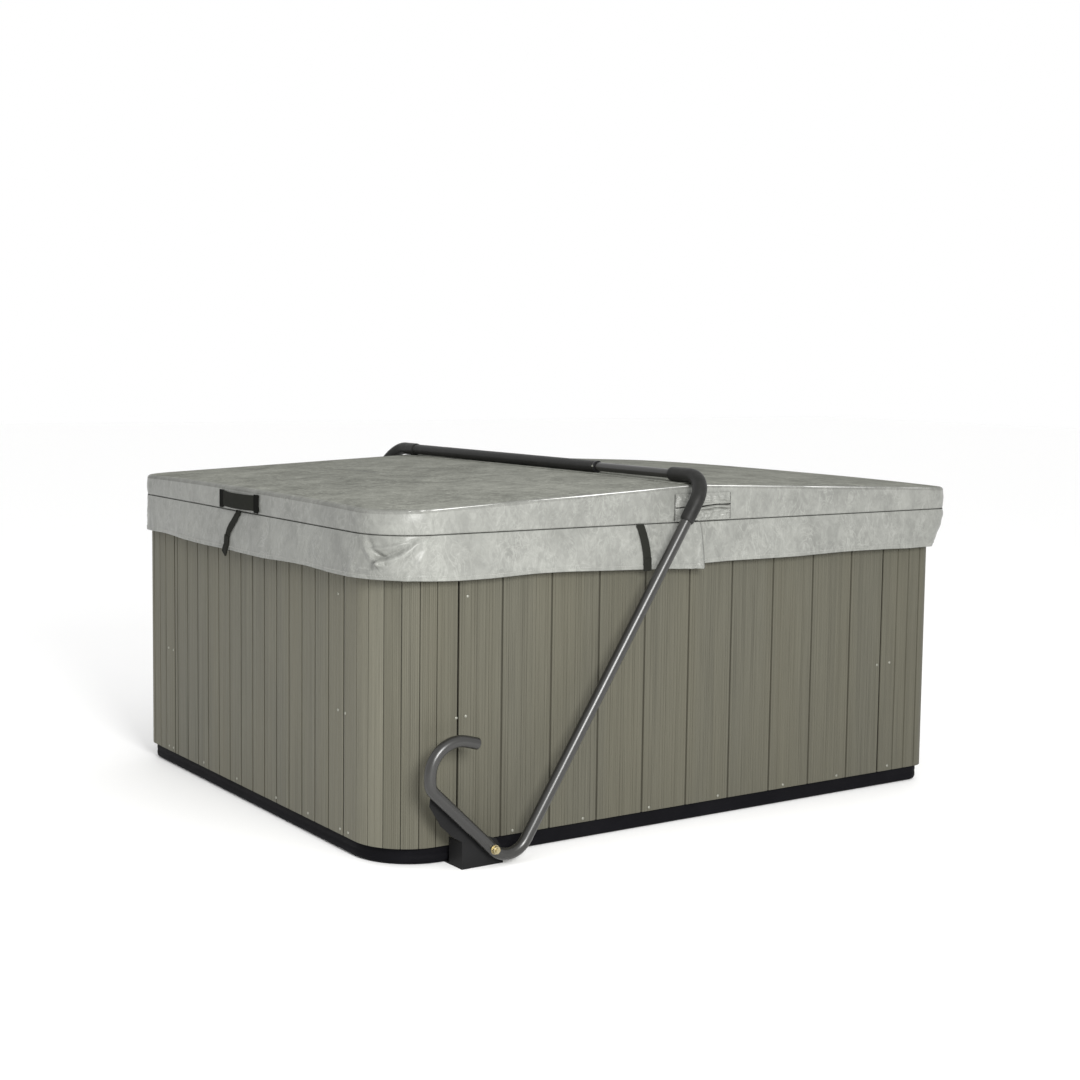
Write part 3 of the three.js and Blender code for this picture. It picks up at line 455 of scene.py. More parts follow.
NODE_MAT = {}
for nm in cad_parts:
    low = nm
    if low.startswith(("cabinet_panel", "corner_post")): mt = BOARDS
    elif low == "base_pan": mt = PAN
    elif low == "spa_shell": mt = ACRYL
    elif low in ("topside_control", "suction_cover", "pump_motor", "pump_volute", "control_pack"): mt = EQUIP
    elif low == "heater_tube": mt = STEEL
    elif low.startswith("headrest"): mt = PILLOW
    elif low.startswith(("support_frame", "fold_stiffener")): mt = GALV
    elif low.startswith("bracket"): mt = BRACKET
    elif low.startswith("pivot"): mt = ZINC
    elif low.startswith("foam_core"): mt = CORE
    elif low.startswith(("elbow_sleeve", "crossbar_foam", "crossbar_collar", "hook_plug")): mt = SLEEVE
    elif low.startswith(("hook_leg", "arm_tube", "elbow_tube", "crossbar_inner", "crossbar_outer")): mt = GUN
    elif low.startswith(("handle", "strap")): mt = WEB
    elif low.startswith("buckle"): mt = BUCK
    else: mt = VINYL
    o = node_obj(nm)
    for i in range(max(1, len(o.material_slots))):
        if len(o.material_slots) == 0:
            o.data.materials.append(mt)
        else:
            o.material_slots[i].material = mt

for nm in ("bracket_front", "bracket_back"):
    bv = node_obj(nm).modifiers.new("edge", "BEVEL")
    bv.width = 0.0009; bv.segments = 2; bv.limit_method = "ANGLE"; bv.angle_limit = math.radians(40)

# -------------------------------------------------------------- cabinet boards
BOARD = 0.165
REEDS = [0.075, 0.135, 0.205, 0.262, 0.318, 0.395, 0.448, 0.556, 0.604, 0.672, 0.742, 0.795, 0.862, 0.925]


def wall_marks(u0, u1, grooves, beads):
    marks = [(u, 0.0070, 0.0058) for u in grooves] + [(u, 0.0036, 0.0018) for u in beads]
    start = (grooves[0] if len(grooves) else u0) - 40 * BOARD
    kk = 0
    while start + kk * BOARD < u1:
        for r in REEDS:
            u = start + kk * BOARD + r * BOARD + 0.0012 * math.sin(kk * 3.1 + r * 40)
            marks.append((u, 0.0018, 0.00085 + 0.00035 * math.sin(kk * 1.7 + r * 23)))
        kk += 1
    marks.sort()
    out = []
    for u, w, d in marks:
        if u - w < u0 or u + w > u1:
            continue
        if out and u - w / 2 < out[-1][0] + out[-1][1] / 2 + 0.0004:
            if d > out[-1][2]:
                out[-1] = (u, w, d)
            continue
        out.append((u, w, d))
    return out


def wall_profile(u0, u1, marks):
    p = [(u0, 0.0034), (u0 + 0.0008, 0.0010), (u0 + 0.0028, 0.0)]
    for u, w, d in marks:
        if u - w / 2 - 0.001 < u0 + 0.0030 or u + w / 2 + 0.001 > u1 - 0.0030:
            continue
        if d > 0.004:
            p += [(u - w / 2 - 0.0010, 0), (u - w / 2, 0.0006), (u - w / 4, d * 0.93), (u - w / 8, d), (u + w / 8, d), (u + w / 4, d * 0.93), (u + w / 2, 0.0006), (u + w / 2 + 0.0010, 0)]
        else:
            p += [(u - w / 2, 0), (u, d), (u + w / 2, 0)]
    p += [(u1 - 0.0028, 0.0), (u1 - 0.0008, 0.0010), (u1, 0.0034), (u1, 0.014), (u0, 0.014)]
    clean = [p[0]]
    for q in p[1:]:
        if abs(q[0] - clean[-1][0]) > 1e-5 or abs(q[1] - clean[-1][1]) > 1e-5:
            clean.append(q)
    return clean


def upright(pts, z0, z1, mat, name, body="spa", nodes=(), n_out=None, depth=None):
    """A wall extruded from its plan profile, with the outer edge eased at top and foot."""
    pts = np.array(pts, float)
    inner = np.array([pts[n_out:].mean(0)] * 1)
    levels = [(z0, 0.0008), (z0 + 0.0012, 0.0), (z0 + 0.25 * (z1 - z0), 0.0), (z0 + 0.5 * (z1 - z0), 0.0), (z0 + 0.75 * (z1 - z0), 0.0), (z1 - 0.0012, 0.0), (z1, 0.0008)]
    d = np.roll(pts, -1, 0) - np.roll(pts, 1, 0)
    ln = np.linalg.norm(d, axis=1)[:, None]; ln[ln < 1e-9] = 1
    nrm = np.stack([-d[:, 1], d[:, 0]], 1) / ln
    area = 0.5 * np.sum(pts[:, 0] * np.roll(pts[:, 1], -1) - np.roll(pts[:, 0], -1) * pts[:, 1])
    if area < 0:
        nrm = -nrm
    rings = []
    for z, e in levels:
        q = pts + nrm * e
        rings.append(np.column_stack([q, np.full(len(q), z)]))
    P = np.array(rings)
    V, F = grid(P, cv=True)
    n = len(pts); top = (len(levels) - 1) * n
    F.append(tuple(range(n))[::-1]); F.append(tuple(range(top, top + n)))
    o = make(name, V, F, mat, body, smooth=True, angle=24)
    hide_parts(*nodes)
    if depth is not None:
        # painted shade: faces inside the deep grooves get a darker board colour
        o.data.materials.append(GROOVE_END_LIT if mat is BOARDS_END_LIT else GROOVE)
        for f in o.data.polygons:
            dd = depth(f.center)
            if 0.0022 < dd < 0.0125 and abs(f.normal.z) < 0.5 and f.area > 1e-8:
                f.material_index = 1
    return o


LG = [(2.226 + i - 6.228) * BOARD for i in range(9)]
LB = [(1.726 + i - 6.228) * BOARD for i in range(10)]
SG = [(2.0 + j - 5.0) * BOARD - 0.004 for j in range(7)]
SB = [(1.5 + j - 5.0) * BOARD - 0.004 for j in range(8)]
SFX, SFY = 0.2264, 0.2333
a0, a1 = -HX + SFX + 0.0030, HX - SFX - 0.0030
b0, b1 = -HY + SFY + 0.0030, HY - SFY - 0.0030
pf = wall_profile(a0, a1, wall_marks(a0, a1, LG, LB))
SE = sorted([u + 0.013 for u in SG] + [u + 0.013 for u in SB])
ps = wall_profile(b0, b1, wall_marks(b0, b1, SE, []))
ZB0, ZB1 = 0.0503, 0.871
upright([(u, -HY + v) for u, v in pf], ZB0, ZB1, BOARDS, "boards_front", nodes=["cabinet_panel_front"], depth=lambda c: c.y + HY)
upright([(-u, HY - v) for u, v in pf], ZB0, ZB1, BOARDS, "boards_back", nodes=["cabinet_panel_back"], depth=lambda c: HY - c.y)
upright([(-HX + v, -u) for u, v in ps], ZB0, ZB1, BOARDS_END_LIT, "boards_left", nodes=["cabinet_panel_left"], depth=lambda c: c.x + HX)
upright([(HX - v, u) for u, v in ps], ZB0, ZB1, BOARDS_END_LIT, "boards_right", nodes=["cabinet_panel_right"], depth=lambda c: HX - c.x)


def post_outline():
    """Plan of the +X +Y corner post, counter-clockwise, outer face first."""
    R = 0.165
    cx, cy = HX - R, HY - R
    def at(a, depth):
        t = math.radians(a)
        return (cx + (R - depth) * math.cos(t), cy + (R - depth) * math.sin(t))
    out = []
    y_start = HY - SFY + 0.0028
    # straight leg below the arc, with reeds
    out += [(HX - 0.0022, y_start), (HX - 0.0006, y_start + 0.0006), (HX, y_start + 0.002)]
    for u in (0.012, 0.019, 0.0335, 0.041, 0.0525):
        y = y_start + u
        out += [(HX, y - 0.0008), (HX - 0.0006, y), (HX, y + 0.0008)]
    arcpts = []
    for kf in range(6):
        a = 2 + 17.2 * kf
        arcpts += [(a, 0.0026, 0.0052, "g")]
        if kf < 5:
            for q in (0.17, 0.28, 0.41, 0.5, 0.62, 0.73, 0.86):
                arcpts += [(a + 17.2 * q, 0.0017, 0.0009 if q == 0.5 else 0.00055, "r")]
    samples = []
    for a, w, d, kind in arcpts:
        wd = math.degrees(w / R)
        if kind == "g":
            samples += [(a - wd * 0.75, 0), (a - wd * 0.5, 0.0005), (a - wd * 0.2, d), (a + wd * 0.2, d), (a + wd * 0.5, 0.0005), (a + wd * 0.75, 0)]
        else:
            samples += [(a - wd / 2, 0), (a, d), (a + wd / 2, 0)]
    flat = [(q, 0) for q in np.arange(0.6, 90, 1.9)]
    keep = [s for s in flat if all(abs(s[0] - a) > math.degrees(0.0042 / R) for a, *_ in arcpts)]
    samples = sorted(samples + keep)
    out += [at(a, d) for a, d in samples]
    x_end = HX - SFX + 0.0028
    for u in (0.008, 0.0165, 0.029, 0.0365, 0.049):
        x = HX - R - u
        out += [(x + 0.0008, HY), (x, HY - 0.0006), (x - 0.0008, HY)]
    out += [(x_end + 0.002, HY), (x_end + 0.0006, HY - 0.0006), (x_end, HY - 0.0022), (x_end, HY - 0.014)]
    for kf in range(8, -1, -1):
        t = math.radians(90 * kf / 8)
        out.append((cx + (R - 0.014) * math.cos(t), cy + (R - 0.014) * math.sin(t)))
    out.append((HX - 0.014, y_start))
    return out


def tight_outline():
    """Plan of a +X +Y corner post with the small corner radius; flutes run along both legs."""
    R = 0.052
    cx, cy = HX - R, HY - R
    def at(a, depth):
        t = math.radians(a)
        return (cx + (R - depth) * math.cos(t), cy + (R - depth) * math.sin(t))
    ys = HY - SFY + 0.0028
    out = [(HX - 0.0034, ys), (HX - 0.0010, ys + 0.0008), (HX, ys + 0.0030)]
    marks = [(HY - q, 0.0060, 0.0052) for q in (0.1594, 0.1095, 0.0603)]
    marks += [(HY - q, 0.0017, 0.0006) for q in (0.221, 0.213, 0.201, 0.192, 0.181, 0.172, 0.150, 0.142, 0.131, 0.120, 0.100, 0.091, 0.080, 0.071)]
    for y, w, d in sorted(marks):
        if d > 0.004:
            out += [(HX, y - w / 2 - 0.0008), (HX - 0.0006, y - w / 2), (HX - d, y - w / 6), (HX - d, y + w / 6), (HX - 0.0006, y + w / 2), (HX, y + w / 2 + 0.0008)]
        else:
            out += [(HX, y - w / 2), (HX - d, y), (HX, y + w / 2)]
    for a in np.arange(0, 91, 3.0):
        if abs(a - 45) > 6:
            out.append(at(a, 0.0005 if int(a / 3) % 4 == 2 else 0.0))
        elif abs(a - 45) < 0.1:
            out += [at(41.0, 0.0004), at(43.6, 0.0052), at(46.4, 0.0052), at(49.0, 0.0004)]
    marks = [(HX - q, 0.0060, 0.0052) for q in (0.1594, 0.1095, 0.0603)]
    marks += [(HX - q, 0.0017, 0.0006) for q in (0.214, 0.206, 0.194, 0.183, 0.174, 0.150, 0.142, 0.131, 0.120, 0.100, 0.091, 0.080, 0.071)]
    for x, w, d in sorted(marks, reverse=True):
        if d > 0.004:
            out += [(x + w / 2 + 0.0008, HY), (x + w / 2, HY - 0.0006), (x + w / 6, HY - d), (x - w / 6, HY - d), (x - w / 2, HY - 0.0006), (x - w / 2 - 0.0008, HY)]
        else:
            out += [(x + w / 2, HY), (x, HY - d), (x - w / 2, HY)]
    xe = HX - SFX + 0.0028
    out += [(xe + 0.0030, HY), (xe + 0.0008, HY - 0.0010), (xe, HY - 0.0034), (xe, HY - 0.014)]
    for kf in range(8, -1, -1):
        t = math.radians(90 * kf / 8)
        out.append((cx + (R - 0.014) * math.cos(t), cy + (R - 0.014) * math.sin(t)))
    out.append((HX - 0.014, ys))
    return out


po, pt = post_outline(), tight_outline()
for nm, sx, sy in (("front_left", -1, -1), ("front_right", 1, -1), ("back_right", 1, 1), ("back_left", -1, 1)):
    pts = [(sx * x, sy * y) for x, y in (po if nm == "front_left" else pt)]
    if sx * sy < 0:
        pts = pts[::-1]
    post_ = upright(pts, ZB0, ZB1, BOARDS, "fluted_post_" + nm, nodes=["corner_post_" + nm])
    # the end-facing leg takes the lighter end-wall copy as painted light, through the half-lit corner copy, stepping
    # over at the flutes
    post_.data.materials.append(BOARDS_MID_LIT); post_.data.materials.append(BOARDS_END_LIT)
    rad_ = 0.165 if nm == "front_left" else 0.052
    for f in post_.data.polygons:
        ax_, ay_ = abs(f.center.x) - (HX - rad_), abs(f.center.y) - (HY - rad_)
        ang_ = 0.0 if ay_ <= 0 else (90.0 if ax_ <= 0 else math.degrees(math.atan2(ay_, ax_)))
        f.material_index = 2 if ang_ < 36.4 else (1 if ang_ < 70.8 else 0)


def slab(x0, x1, y0, y1, z0, z1, e=0.0004):
    q = []
    for z, i in ((z0, e), (z0 + e, 0), (z1 - e, 0), (z1, e)):
        q.append([(x0 + i, y0 + i, z), (x1 - i, y0 + i, z), (x1 - i, y1 - i, z), (x0 + i, y1 - i, z)])
    return capped(np.array(q))


# painted shadow: dark strips behind and inside each seam between a board wall and a corner post
shade_strips = []
for sx in (-1, 1):
    for sy in (-1, 1):
        xs = sx * (HX - SFX); ys = sy * (HY - SFY)
        shade_strips.append(slab(xs - 0.014, xs + 0.014, min(sy * (HY - 0.0142), sy * (HY - 0.0157)), max(sy * (HY - 0.0142), sy * (HY - 0.0157)), 0.056, 0.864))
        shade_strips.append(slab(xs - 0.0022, xs + 0.0020, min(sy * (HY - 0.0040), sy * (HY - 0.0141)), max(sy * (HY - 0.0040), sy * (HY - 0.0141)), 0.056, 0.864))
        shade_strips.append(slab(min(sx * (HX - 0.0142), sx * (HX - 0.0157)), max(sx * (HX - 0.0142), sx * (HX - 0.0157)), ys - 0.014, ys + 0.014, 0.056, 0.864))
        shade_strips.append(slab(min(sx * (HX - 0.0022), sx * (HX - 0.0141)), max(sx * (HX - 0.0022), sx * (HX - 0.0141)), ys - 0.0022, ys + 0.0020, 0.056, 0.864))
V, F = merge(shade_strips)
make("seam_shadow_strips", V, F, SHADOWED, "spa", angle=30)


# --------------------------------------------------------------------- outlines
def rrect(x0, x1, y0, y1, R, seg=24, step=0.02):
    """Dense counter-clockwise rounded rectangle. R per corner x0y0, x1y0, x1y1, x0y1."""
    if np.isscalar(R):
        R = [R] * 4
    cs = [(x0 + R[0], y0 + R[0], 180, R[0]), (x1 - R[1], y0 + R[1], 270, R[1]), (x1 - R[2], y1 - R[2], 0, R[2]), (x0 + R[3], y1 - R[3], 90, R[3])]
    pts = []
    for cx, cy, s, r in cs:
        for i in range(seg + 1):
            t = math.radians(s + 90 * i / seg)
            pts.append((cx + r * math.cos(t), cy + r * math.sin(t)))
    pts = np.array(pts)
    out = []
    n = len(pts)
    per = []
    for i in range(n):
        a = pts[i]; b = pts[(i + 1) % n]
        straight = (i % (seg + 1)) == seg
        m = max(1, int(round(np.linalg.norm(b - a) / step))) if straight else 1
        per.append(m)
        for q in range(m):
            out.append(a + (b - a) * q / m)
    return np.array(out)


def rrect_counts(x0, x1, y0, y1, R, seg, counts):
    """As rrect but with a fixed number of points along each straight, for stacking rings."""
    if np.isscalar(R):
        R = [R] * 4
    cs = [(x0 + R[0], y0 + R[0], 180, R[0]), (x1 - R[1], y0 + R[1], 270, R[1]), (x1 - R[2], y1 - R[2], 0, R[2]), (x0 + R[3], y1 - R[3], 90, R[3])]
    arcs = []
    for cx, cy, s, r in cs:
        arcs.append([(cx + r * math.cos(math.radians(s + 90 * i / seg)), cy + r * math.sin(math.radians(s + 90 * i / seg))) for i in range(seg + 1)])
    out = []
    for kq in range(4):
        out += arcs[kq]
        a = np.array(arcs[kq][-1]); b = np.array(arcs[(kq + 1) % 4][0])
        for q in range(1, counts[kq]):
            out.append(tuple(a + (b - a) * q / counts[kq]))
    return np.array(out)


def stack(rings):
    V, F = grid(np.array(rings), cv=True)
    n = len(rings[0]); kk = len(rings)
    V = np.vstack([V, np.mean(rings[0], 0), np.mean(rings[-1], 0)])
    for j in range(n):
        c = (j + 1) % n
        F.append((kk * n, c, j)); F.append((kk * n + 1, (kk - 1) * n + j, (kk - 1) * n + c))
    return V, F


# --------------------------------------------------------------------- base pan
def pan_ring(z, inset, r):
    p = rrect_counts(-HX + inset, HX - inset, -HY + inset, HY - inset, [r, r - 0.133, r - 0.133, r - 0.133], 20, [12, 10, 12, 10])
    return np.column_stack([p, np.full(len(p), z)])


rings = [pan_ring(0.0006, 0.030, 0.165)]
for q in range(7):
    t = math.radians(15 * q)
    rings.append(pan_ring(0.0006 + 0.0125 * (1 - math.cos(t)), 0.010 + 0.0125 * (1 - math.sin(t)), 0.185 - 0.0125 * (1 - math.sin(t))))
for z, e in ((0.022, 0.0), (0.0235, 0.0006), (0.030, 0.0006), (0.0315, 0.0), (0.046, 0.0), (0.0492, 0.0008), (0.0500, 0.0035)):
    rings.append(pan_ring(z, 0.010 + e, 0.185 - e))
rings += [pan_ring(0.0500, 0.042, 0.153), pan_ring(0.048, 0.044, 0.151), pan_ring(0.014, 0.046, 0.149)]
V, F = stack(rings)
pan = make("moulded_base", V, F, PAN, "spa", angle=40)
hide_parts("base_pan")


# ------------------------------------------------------------------------ shell
def shell_ring(z, ix, iy, r, cx=0.0):
    if ix < 0.05:
        r = [r, r - 0.113, r - 0.113, r - 0.113]        # the rim follows the cabinet corners
    p = rrect_counts(cx - HX + ix, cx + HX - ix, -HY + iy, HY - iy, r, 14, [10, 8, 10, 8])
    return np.column_stack([p, np.full(len(p), z)])


L = 0.008; z0 = RIM - 0.029
R_ = [(0.086, .560, .470, .120, .03), (0.098, .545, .455, .130, .03), (0.436, .502, .412, .150, .03), (0.446, .190, .190, .150, 0), (0.470, .172, .172, .165, 0),
      (0.846, .118, .118, .190, 0), (z0 + .010, .100, .100, .195, 0), (z0 + .010, .016, .016, .160, 0), (z0, .008, .008, .165, 0), (z0 - 0.0, -L + .004, -L + .004, .171, 0),
      (z0 + .0015, -L + .0012, -L + .0012, .1722, 0), (z0 + .005, -L, -L, .173, 0), (RIM - .012, -L, -L, .173, 0), (RIM - .007, -L + .0007, -L + .0007, .1722, 0), (RIM - .0035, -L + .0028, -L + .0028, .170, 0),
      (RIM - .001, -L + .0065, -L + .0065, .167, 0), (RIM, -L + .012, -L + .012, .162, 0), (RIM, .06, .06, .182, 0), (RIM, .098, .098, .203, 0), (RIM - .0010, .106, .106, .2035, 0), (RIM - .0040, .1135, .1135, .2015, 0), (RIM - .010, .1195, .1195, .199, 0), (RIM - .018, .1225, .1225, .198, 0),
      (0.846, .126, .126, .196, 0), (0.700, .146, .146, .187, 0), (0.560, .168, .168, .176, 0), (0.500, .179, .179, .171, 0), (0.478, .186, .186, .168, 0), (0.464, .196, .196, .162, 0), (0.4575, .212, .212, .152, 0), (0.456, .235, .235, .140, 0),
      (0.456, .470, .380, .160, .03), (0.4545, .492, .402, .152, .03), (0.449, .502, .412, .149, .03), (0.440, .507, .417, .147, .03), (0.300, .530, .440, .137, .03), (0.140, .551, .461, .129, .03), (0.112, .558, .468, .127, .03), (0.101, .568, .478, .120, .03), (0.0965, .584, .494, .110, .03), (0.096, .61, .52, .09, .03)]
V, F = stack([shell_ring(*q) for q in R_])
shell = make("tub_shell", V, F, ACRYL, "spa", angle=50)
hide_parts("spa_shell")


def disc_piece(name, centre, normal, profile, mat, body="spa", slot=None, n=32):
    V, F = lathe(profile, n)
    nz = Vector(normal).normalized()
    M = Matrix.Translation(Vector(centre)) @ nz.to_track_quat("Z", "Y").to_matrix().to_4x4()
    return place(V, M), F


# Jets, set in rings in the walls above the bench and in the foot well.
jets = []
jet_profile = [(0.0, 0.0005), (0.006, 0.0005), (0.007, 0.0035), (0.011, 0.0035), (0.012, 0.0015), (0.022, 0.0015), (0.024, 0.0045), (0.031, 0.0040), (0.0335, 0.0005), (0.033, -0.004), (0.0, -0.004)]
def jet_closed(profile):
    return [(max(r, 0.0002), h) for r, h in profile]
for sx in (-1, 1):
    for y in (-0.36, -0.20, 0.20, 0.36):
        for z in (0.64, 0.745):
            x = HX - (0.126 + (0.846 - z) * 0.1425) - 0.0012
            jets.append(disc_piece("", (sx * x, y, z), (-sx, 0, 0.14), jet_closed(jet_profile), CHROME))
for sy in (-1, 1):
    for x in (-0.58, -0.42, -0.08, 0.08, 0.42, 0.58):
        for z in (0.64, 0.745):
            y = HY - (0.126 + (0.846 - z) * 0.1425) - 0.0012
            jets.append(disc_piece("", (x, sy * y, z), (0, -sy, 0.14), jet_closed(jet_profile), CHROME))
for x in (-0.22, 0.03, 0.28):
    for sy in (-1, 1):
        jets.append(disc_piece("", (x, sy * (HY - 0.5370), 0.27), (0, -sy, 0.16), jet_closed(jet_profile), CHROME))
V, F = merge(jets)
make("jet_faces", V, F, CHROME, "spa", angle=35)

# Headrests: crowned pads with two pressed channels.
def pad_shape(cx, sgn):
    nu, nv = 40, 28
    P = []
    for i in range(nu):
        yy = -0.150 + 0.300 * i / (nu - 1)
        row = []
        e = min(1.0, (1 - abs(yy) / 0.1502) / 0.12) if abs(yy) < 0.1502 else 0.0
        e = math.sqrt(max(0.0, 1 - (1 - e) ** 2))
        for j in range(nv):
            t = 2 * math.pi * j / nv
            c, s = math.cos(t), math.sin(t)
            w = 0.0155 * (abs(c) ** 0.65) * (1 if c > 0 else -1)
            h = 0.044 * (abs(s) ** 0.8) * (1 if s > 0 else -1)
            ch = 1 - 0.10 * math.exp(-((abs(yy) - 0.055) / 0.006) ** 2)
            row.append((w * (0.35 + 0.65 * e) * ch, yy, h * (0.25 + 0.75 * e) * ch))
        P.append(row)
    P = np.array(P)
    V, F = capped(P)
    M = Matrix.Translation(Vector((cx, 0, 0.805))) @ Matrix.Rotation(math.radians(8 * sgn), 4, "Y")
    return place(V, M), F


for nm, sx in (("left", -1), ("right", 1)):
    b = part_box("headrest_" + nm)
    cx = (b[0][0] + b[1][0]) / 2
    V, F = pad_shape(cx, sx)
    h = make("headrest_pad_" + nm, V, F, PILLOW, "spa")
    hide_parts("headrest_" + nm)

# Topside control: bezel, window and four generic keys.
kb = rrect_counts(-0.1232, 0.0232, -HY + 0.0308, -HY + 0.0892, 0.019, 10, [4, 2, 4, 2])
def kring(pts, c, inset, z):
    d = pts - c
    q = c + d * (1 - inset / np.maximum(np.abs(d).max(0), 1e-6))
    return np.column_stack([q, np.full(len(q), z)])
kc = np.array([-0.05, -HY + 0.06])
V, F = stack([kring(kb, kc, 0, RIM - 0.0076), kring(kb, kc, 0, RIM - 0.0020), kring(kb, kc, 0.0012, RIM - 0.0008), kring(kb, kc, 0.004, RIM - 0.0006), kring(kb, kc, 0.006, RIM - 0.0014)])
tc = make("control_bezel", V, F, EQUIP, "spa", angle=40)
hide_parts("topside_control")
keys = []
for xk in (-0.104, -0.082, -0.018, 0.004):
    keys.append(disc_piece("", (xk, -HY + 0.06, RIM - 0.0014), (0, 0, 1), [(0.0002, 0.0), (0.0075, 0.0), (0.0078, 0.0006), (0.0068, 0.0010), (0.0002, 0.0011)], EQUIP, n=24))
V, F = merge(keys)
make("control_keys", V, F, STEEL, "spa", angle=40)

# Suction cover: domed grille with radial slots modelled as ribs.
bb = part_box("suction_cover")
cc = ((bb[0][0] + bb[1][0]) / 2, (bb[0][1] + bb[1][1]) / 2, bb[0][2])
parts = [disc_piece("", cc, (0, 0, 1), [(0.0002, 0.0), (0.069, 0.0), (0.068, 0.004), (0.058, 0.0085), (0.030, 0.0105), (0.0002, 0.0110)], EQUIP, n=48)]
for q in range(20):
    t = 2 * math.pi * q / 20
    ribs = []
    for rr, hh in ((0.016, 0.0122), (0.036, 0.0116), (0.055, 0.0102), (0.064, 0.0070)):
        c = Vector((cc[0] + rr * math.cos(t), cc[1] + rr * math.sin(t), cc[2] + hh))
        d = Vector((-math.sin(t), math.cos(t), 0)) * 0.0016
        ribs.append([c + d, c + d * 0.5 + Vector((0, 0, 0.0012)), c - d * 0.5 + Vector((0, 0, 0.0012)), c - d, c - d - Vector((0, 0, 0.004)), c + d - Vector((0, 0, 0.004))])
    parts.append(capped(np.array([[tuple(v) for v in r] for r in ribs])))
V, F = merge(parts)
sc_ = make("suction_grille", V, F, EQUIP, "spa", angle=35)
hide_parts("suction_cover")


# ---------------------------------------------------------------- cabinet screws
def screw(c, nrm):
    prof = [(0.0002, 0.0016), (0.0018, 0.0017), (0.0032, 0.0013), (0.0040, 0.0006), (0.0042, 0.0), (0.0040, -0.002), (0.0002, -0.002)]
    nz = Vector(nrm).normalized()
    M = Matrix.Translation(Vector(c)) @ nz.to_track_quat("Z", "Y").to_matrix().to_4x4()
    V, F = lathe(prof, 18)
    out = [(place(V, M), F)]
    for rot in (0.5, 0.5 + math.pi / 2):
        w, l, h = 0.0004, 0.0024, 0.0020
        q = np.array([[-l, -w, 0.0012], [l, -w, 0.0012], [l, w, 0.0012], [-l, w, 0.0012], [-l, -w, h], [l, -w, h], [l, w, h], [-l, w, h]])
        q = place(q, M @ Matrix.Rotation(rot, 4, "Z"))
        out.append((q, [(3, 2, 1, 0), (4, 5, 6, 7), (0, 1, 5, 4), (1, 2, 6, 5), (2, 3, 7, 6), (3, 0, 4, 7)]))
    return out


sp = []
for sy in (-1, 1):
    for xx in (-0.6195, -0.3775, -0.1375, 0.1265, 0.3905, 0.6195):
        sp += screw((xx, sy * (HY + 0.0001), 0.0612), (0, sy, 0))
    for xx, zz in ((-0.7735, 0.730), (-0.7765, 0.401), (-0.8065, 0.399), (0.7865, 0.404), (0.8420, 0.407), (0.8460, 0.066)):
        sp += screw((xx, sy * (HY + 0.0001), zz), (0, sy, 0))
for sx in (-1, 1):
    for yy in (-0.6235, -0.5765, -0.3805, -0.1715, 0.1045, 0.3575, 0.6075, 0.6440):
        sp += screw((sx * (HX + 0.0001), yy, 0.0660), (sx, 0, 0))
    for yy, zz in ((-0.5615, 0.722), (-0.5625, 0.398), (-0.6045, 0.396), (0.6045, 0.396), (0.6440, 0.398)):
        sp += screw((sx * (HX + 0.0001), yy, zz), (sx, 0, 0))
V, F = merge(sp)
make("cabinet_screws", V, F, STEEL, "spa", angle=35)


# ----------------------------------------------------------------- cover jackets
def ztop(side, x):
    if side < 0:
        return RIM + TF - (TF - TL) * (-x) / XL
    return RIM + TF - (TF - TR) * x / XR


def crown(side, x, y):
    v = min(1.0, abs(y) / YO)
    u = (abs(x) / (XL if side < 0 else XR)) * 2 - 1
    c = 0.0085 * (1 - v ** 2.6) + 0.0030 * (1 - v ** 4) * (1 - u * u)
    near = math.exp(-(x / 0.085) ** 2)
    return c * (1 - 0.45 * near)


